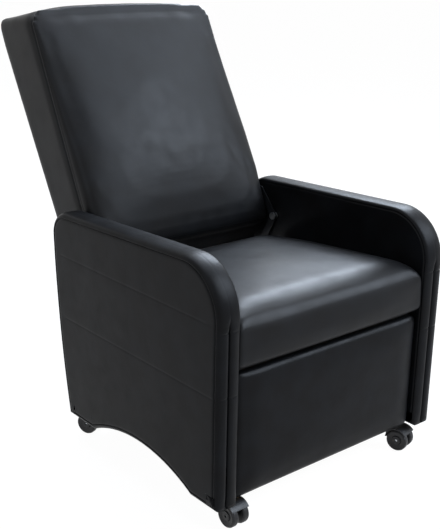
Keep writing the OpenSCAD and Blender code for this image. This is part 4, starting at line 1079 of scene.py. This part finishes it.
def make_softboxes(look):
    """The square area lamps, each turned to the place that it faces."""
    for name, place, target, size, power in SOFTBOXES:
        lamp = bpy.data.lights.new(name, "AREA")
        lamp.size = size
        lamp.energy = power
        lamp.color = look.lamp_colour
        obj = bpy.data.objects.new(name, lamp)
        obj.location = place
        obj.rotation_euler = (Vector(target) - Vector(place)).to_track_quat("-Z", "Y").to_euler()
        bpy.context.scene.collection.objects.link(obj)


def make_camera():
    """The camera, at the photograph's viewing angle."""
    camera = bpy.data.cameras.new("Camera")
    camera.lens = LENS
    camera.sensor_width = SENSOR
    camera.clip_end = CAMERA_END
    turn, climb, roll = (math.radians(a) for a in CAMERA_ANGLES)
    back = Vector((math.sin(turn) * math.cos(climb), -math.cos(turn) * math.cos(climb), math.sin(climb)))
    right = (-back).cross(Vector((0, 0, 1))).normalized()
    up = right.cross(-back)
    level, high = math.cos(roll), math.sin(roll)
    right, up = right * level + up * high, up * level - right * high
    axes = Matrix((right, up, back)).transposed().to_4x4()
    obj = bpy.data.objects.new("Camera", camera)
    obj.matrix_world = Matrix.Translation(CAMERA_PLACE) @ axes
    bpy.context.scene.collection.objects.link(obj)
    bpy.context.scene.camera = obj


class CHAIR_OT_stage(bpy.types.Operator):
    """Make the pale floor, the soft lights and the camera"""
    bl_idname = "chair.stage"
    bl_label = "Studio"

    def execute(self, context):
        look = context.scene.chair_look
        make_floor(look)
        make_room(look)
        make_softboxes(look)
        make_camera()
        bpy.context.scene.view_settings.view_transform = "Standard"
        return {"FINISHED"}


# The add-on

OPERATORS = (
    CHAIR_OT_side_panels, CHAIR_OT_seat, CHAIR_OT_back, CHAIR_OT_footrest, CHAIR_OT_fillings,
    CHAIR_OT_webbing, CHAIR_OT_hardware, CHAIR_OT_stage,
)


class CHAIR_PT_pieces(bpy.types.Panel):
    """Lists the chair's pieces and its sizes"""
    bl_idname = "CHAIR_PT_pieces"
    bl_label = "Push-back chair"
    bl_space_type = "VIEW_3D"
    bl_region_type = "UI"
    bl_category = "Chair"

    def draw(self, context):
        for group in (context.scene.chair_sizes, context.scene.chair_look):
            box = self.layout.box()
            for name in type(group).__annotations__:
                box.prop(group, name)
        for operator in OPERATORS:
            self.layout.operator(operator.bl_idname)


CLASSES = (ChairSizes, ChairLook, *OPERATORS, CHAIR_PT_pieces)


def register():
    """Makes the classes and their properties known to Blender."""
    for cls in CLASSES:
        bpy.utils.register_class(cls)
    bpy.types.Scene.chair_sizes = PointerProperty(type=ChairSizes)
    bpy.types.Scene.chair_look = PointerProperty(type=ChairLook)


def unregister():
    """Takes the classes and their properties away again."""
    del bpy.types.Scene.chair_look
    del bpy.types.Scene.chair_sizes
    for cls in reversed(CLASSES):
        bpy.utils.unregister_class(cls)


def main():
    """Makes every piece in order."""
    register()
    FINISHES.update(make_finishes(bpy.context.scene.chair_look))
    for operator in OPERATORS:
        group, name = operator.bl_idname.split(".")
        getattr(getattr(bpy.ops, group), name)()


if __name__ == "__main__":
    main()
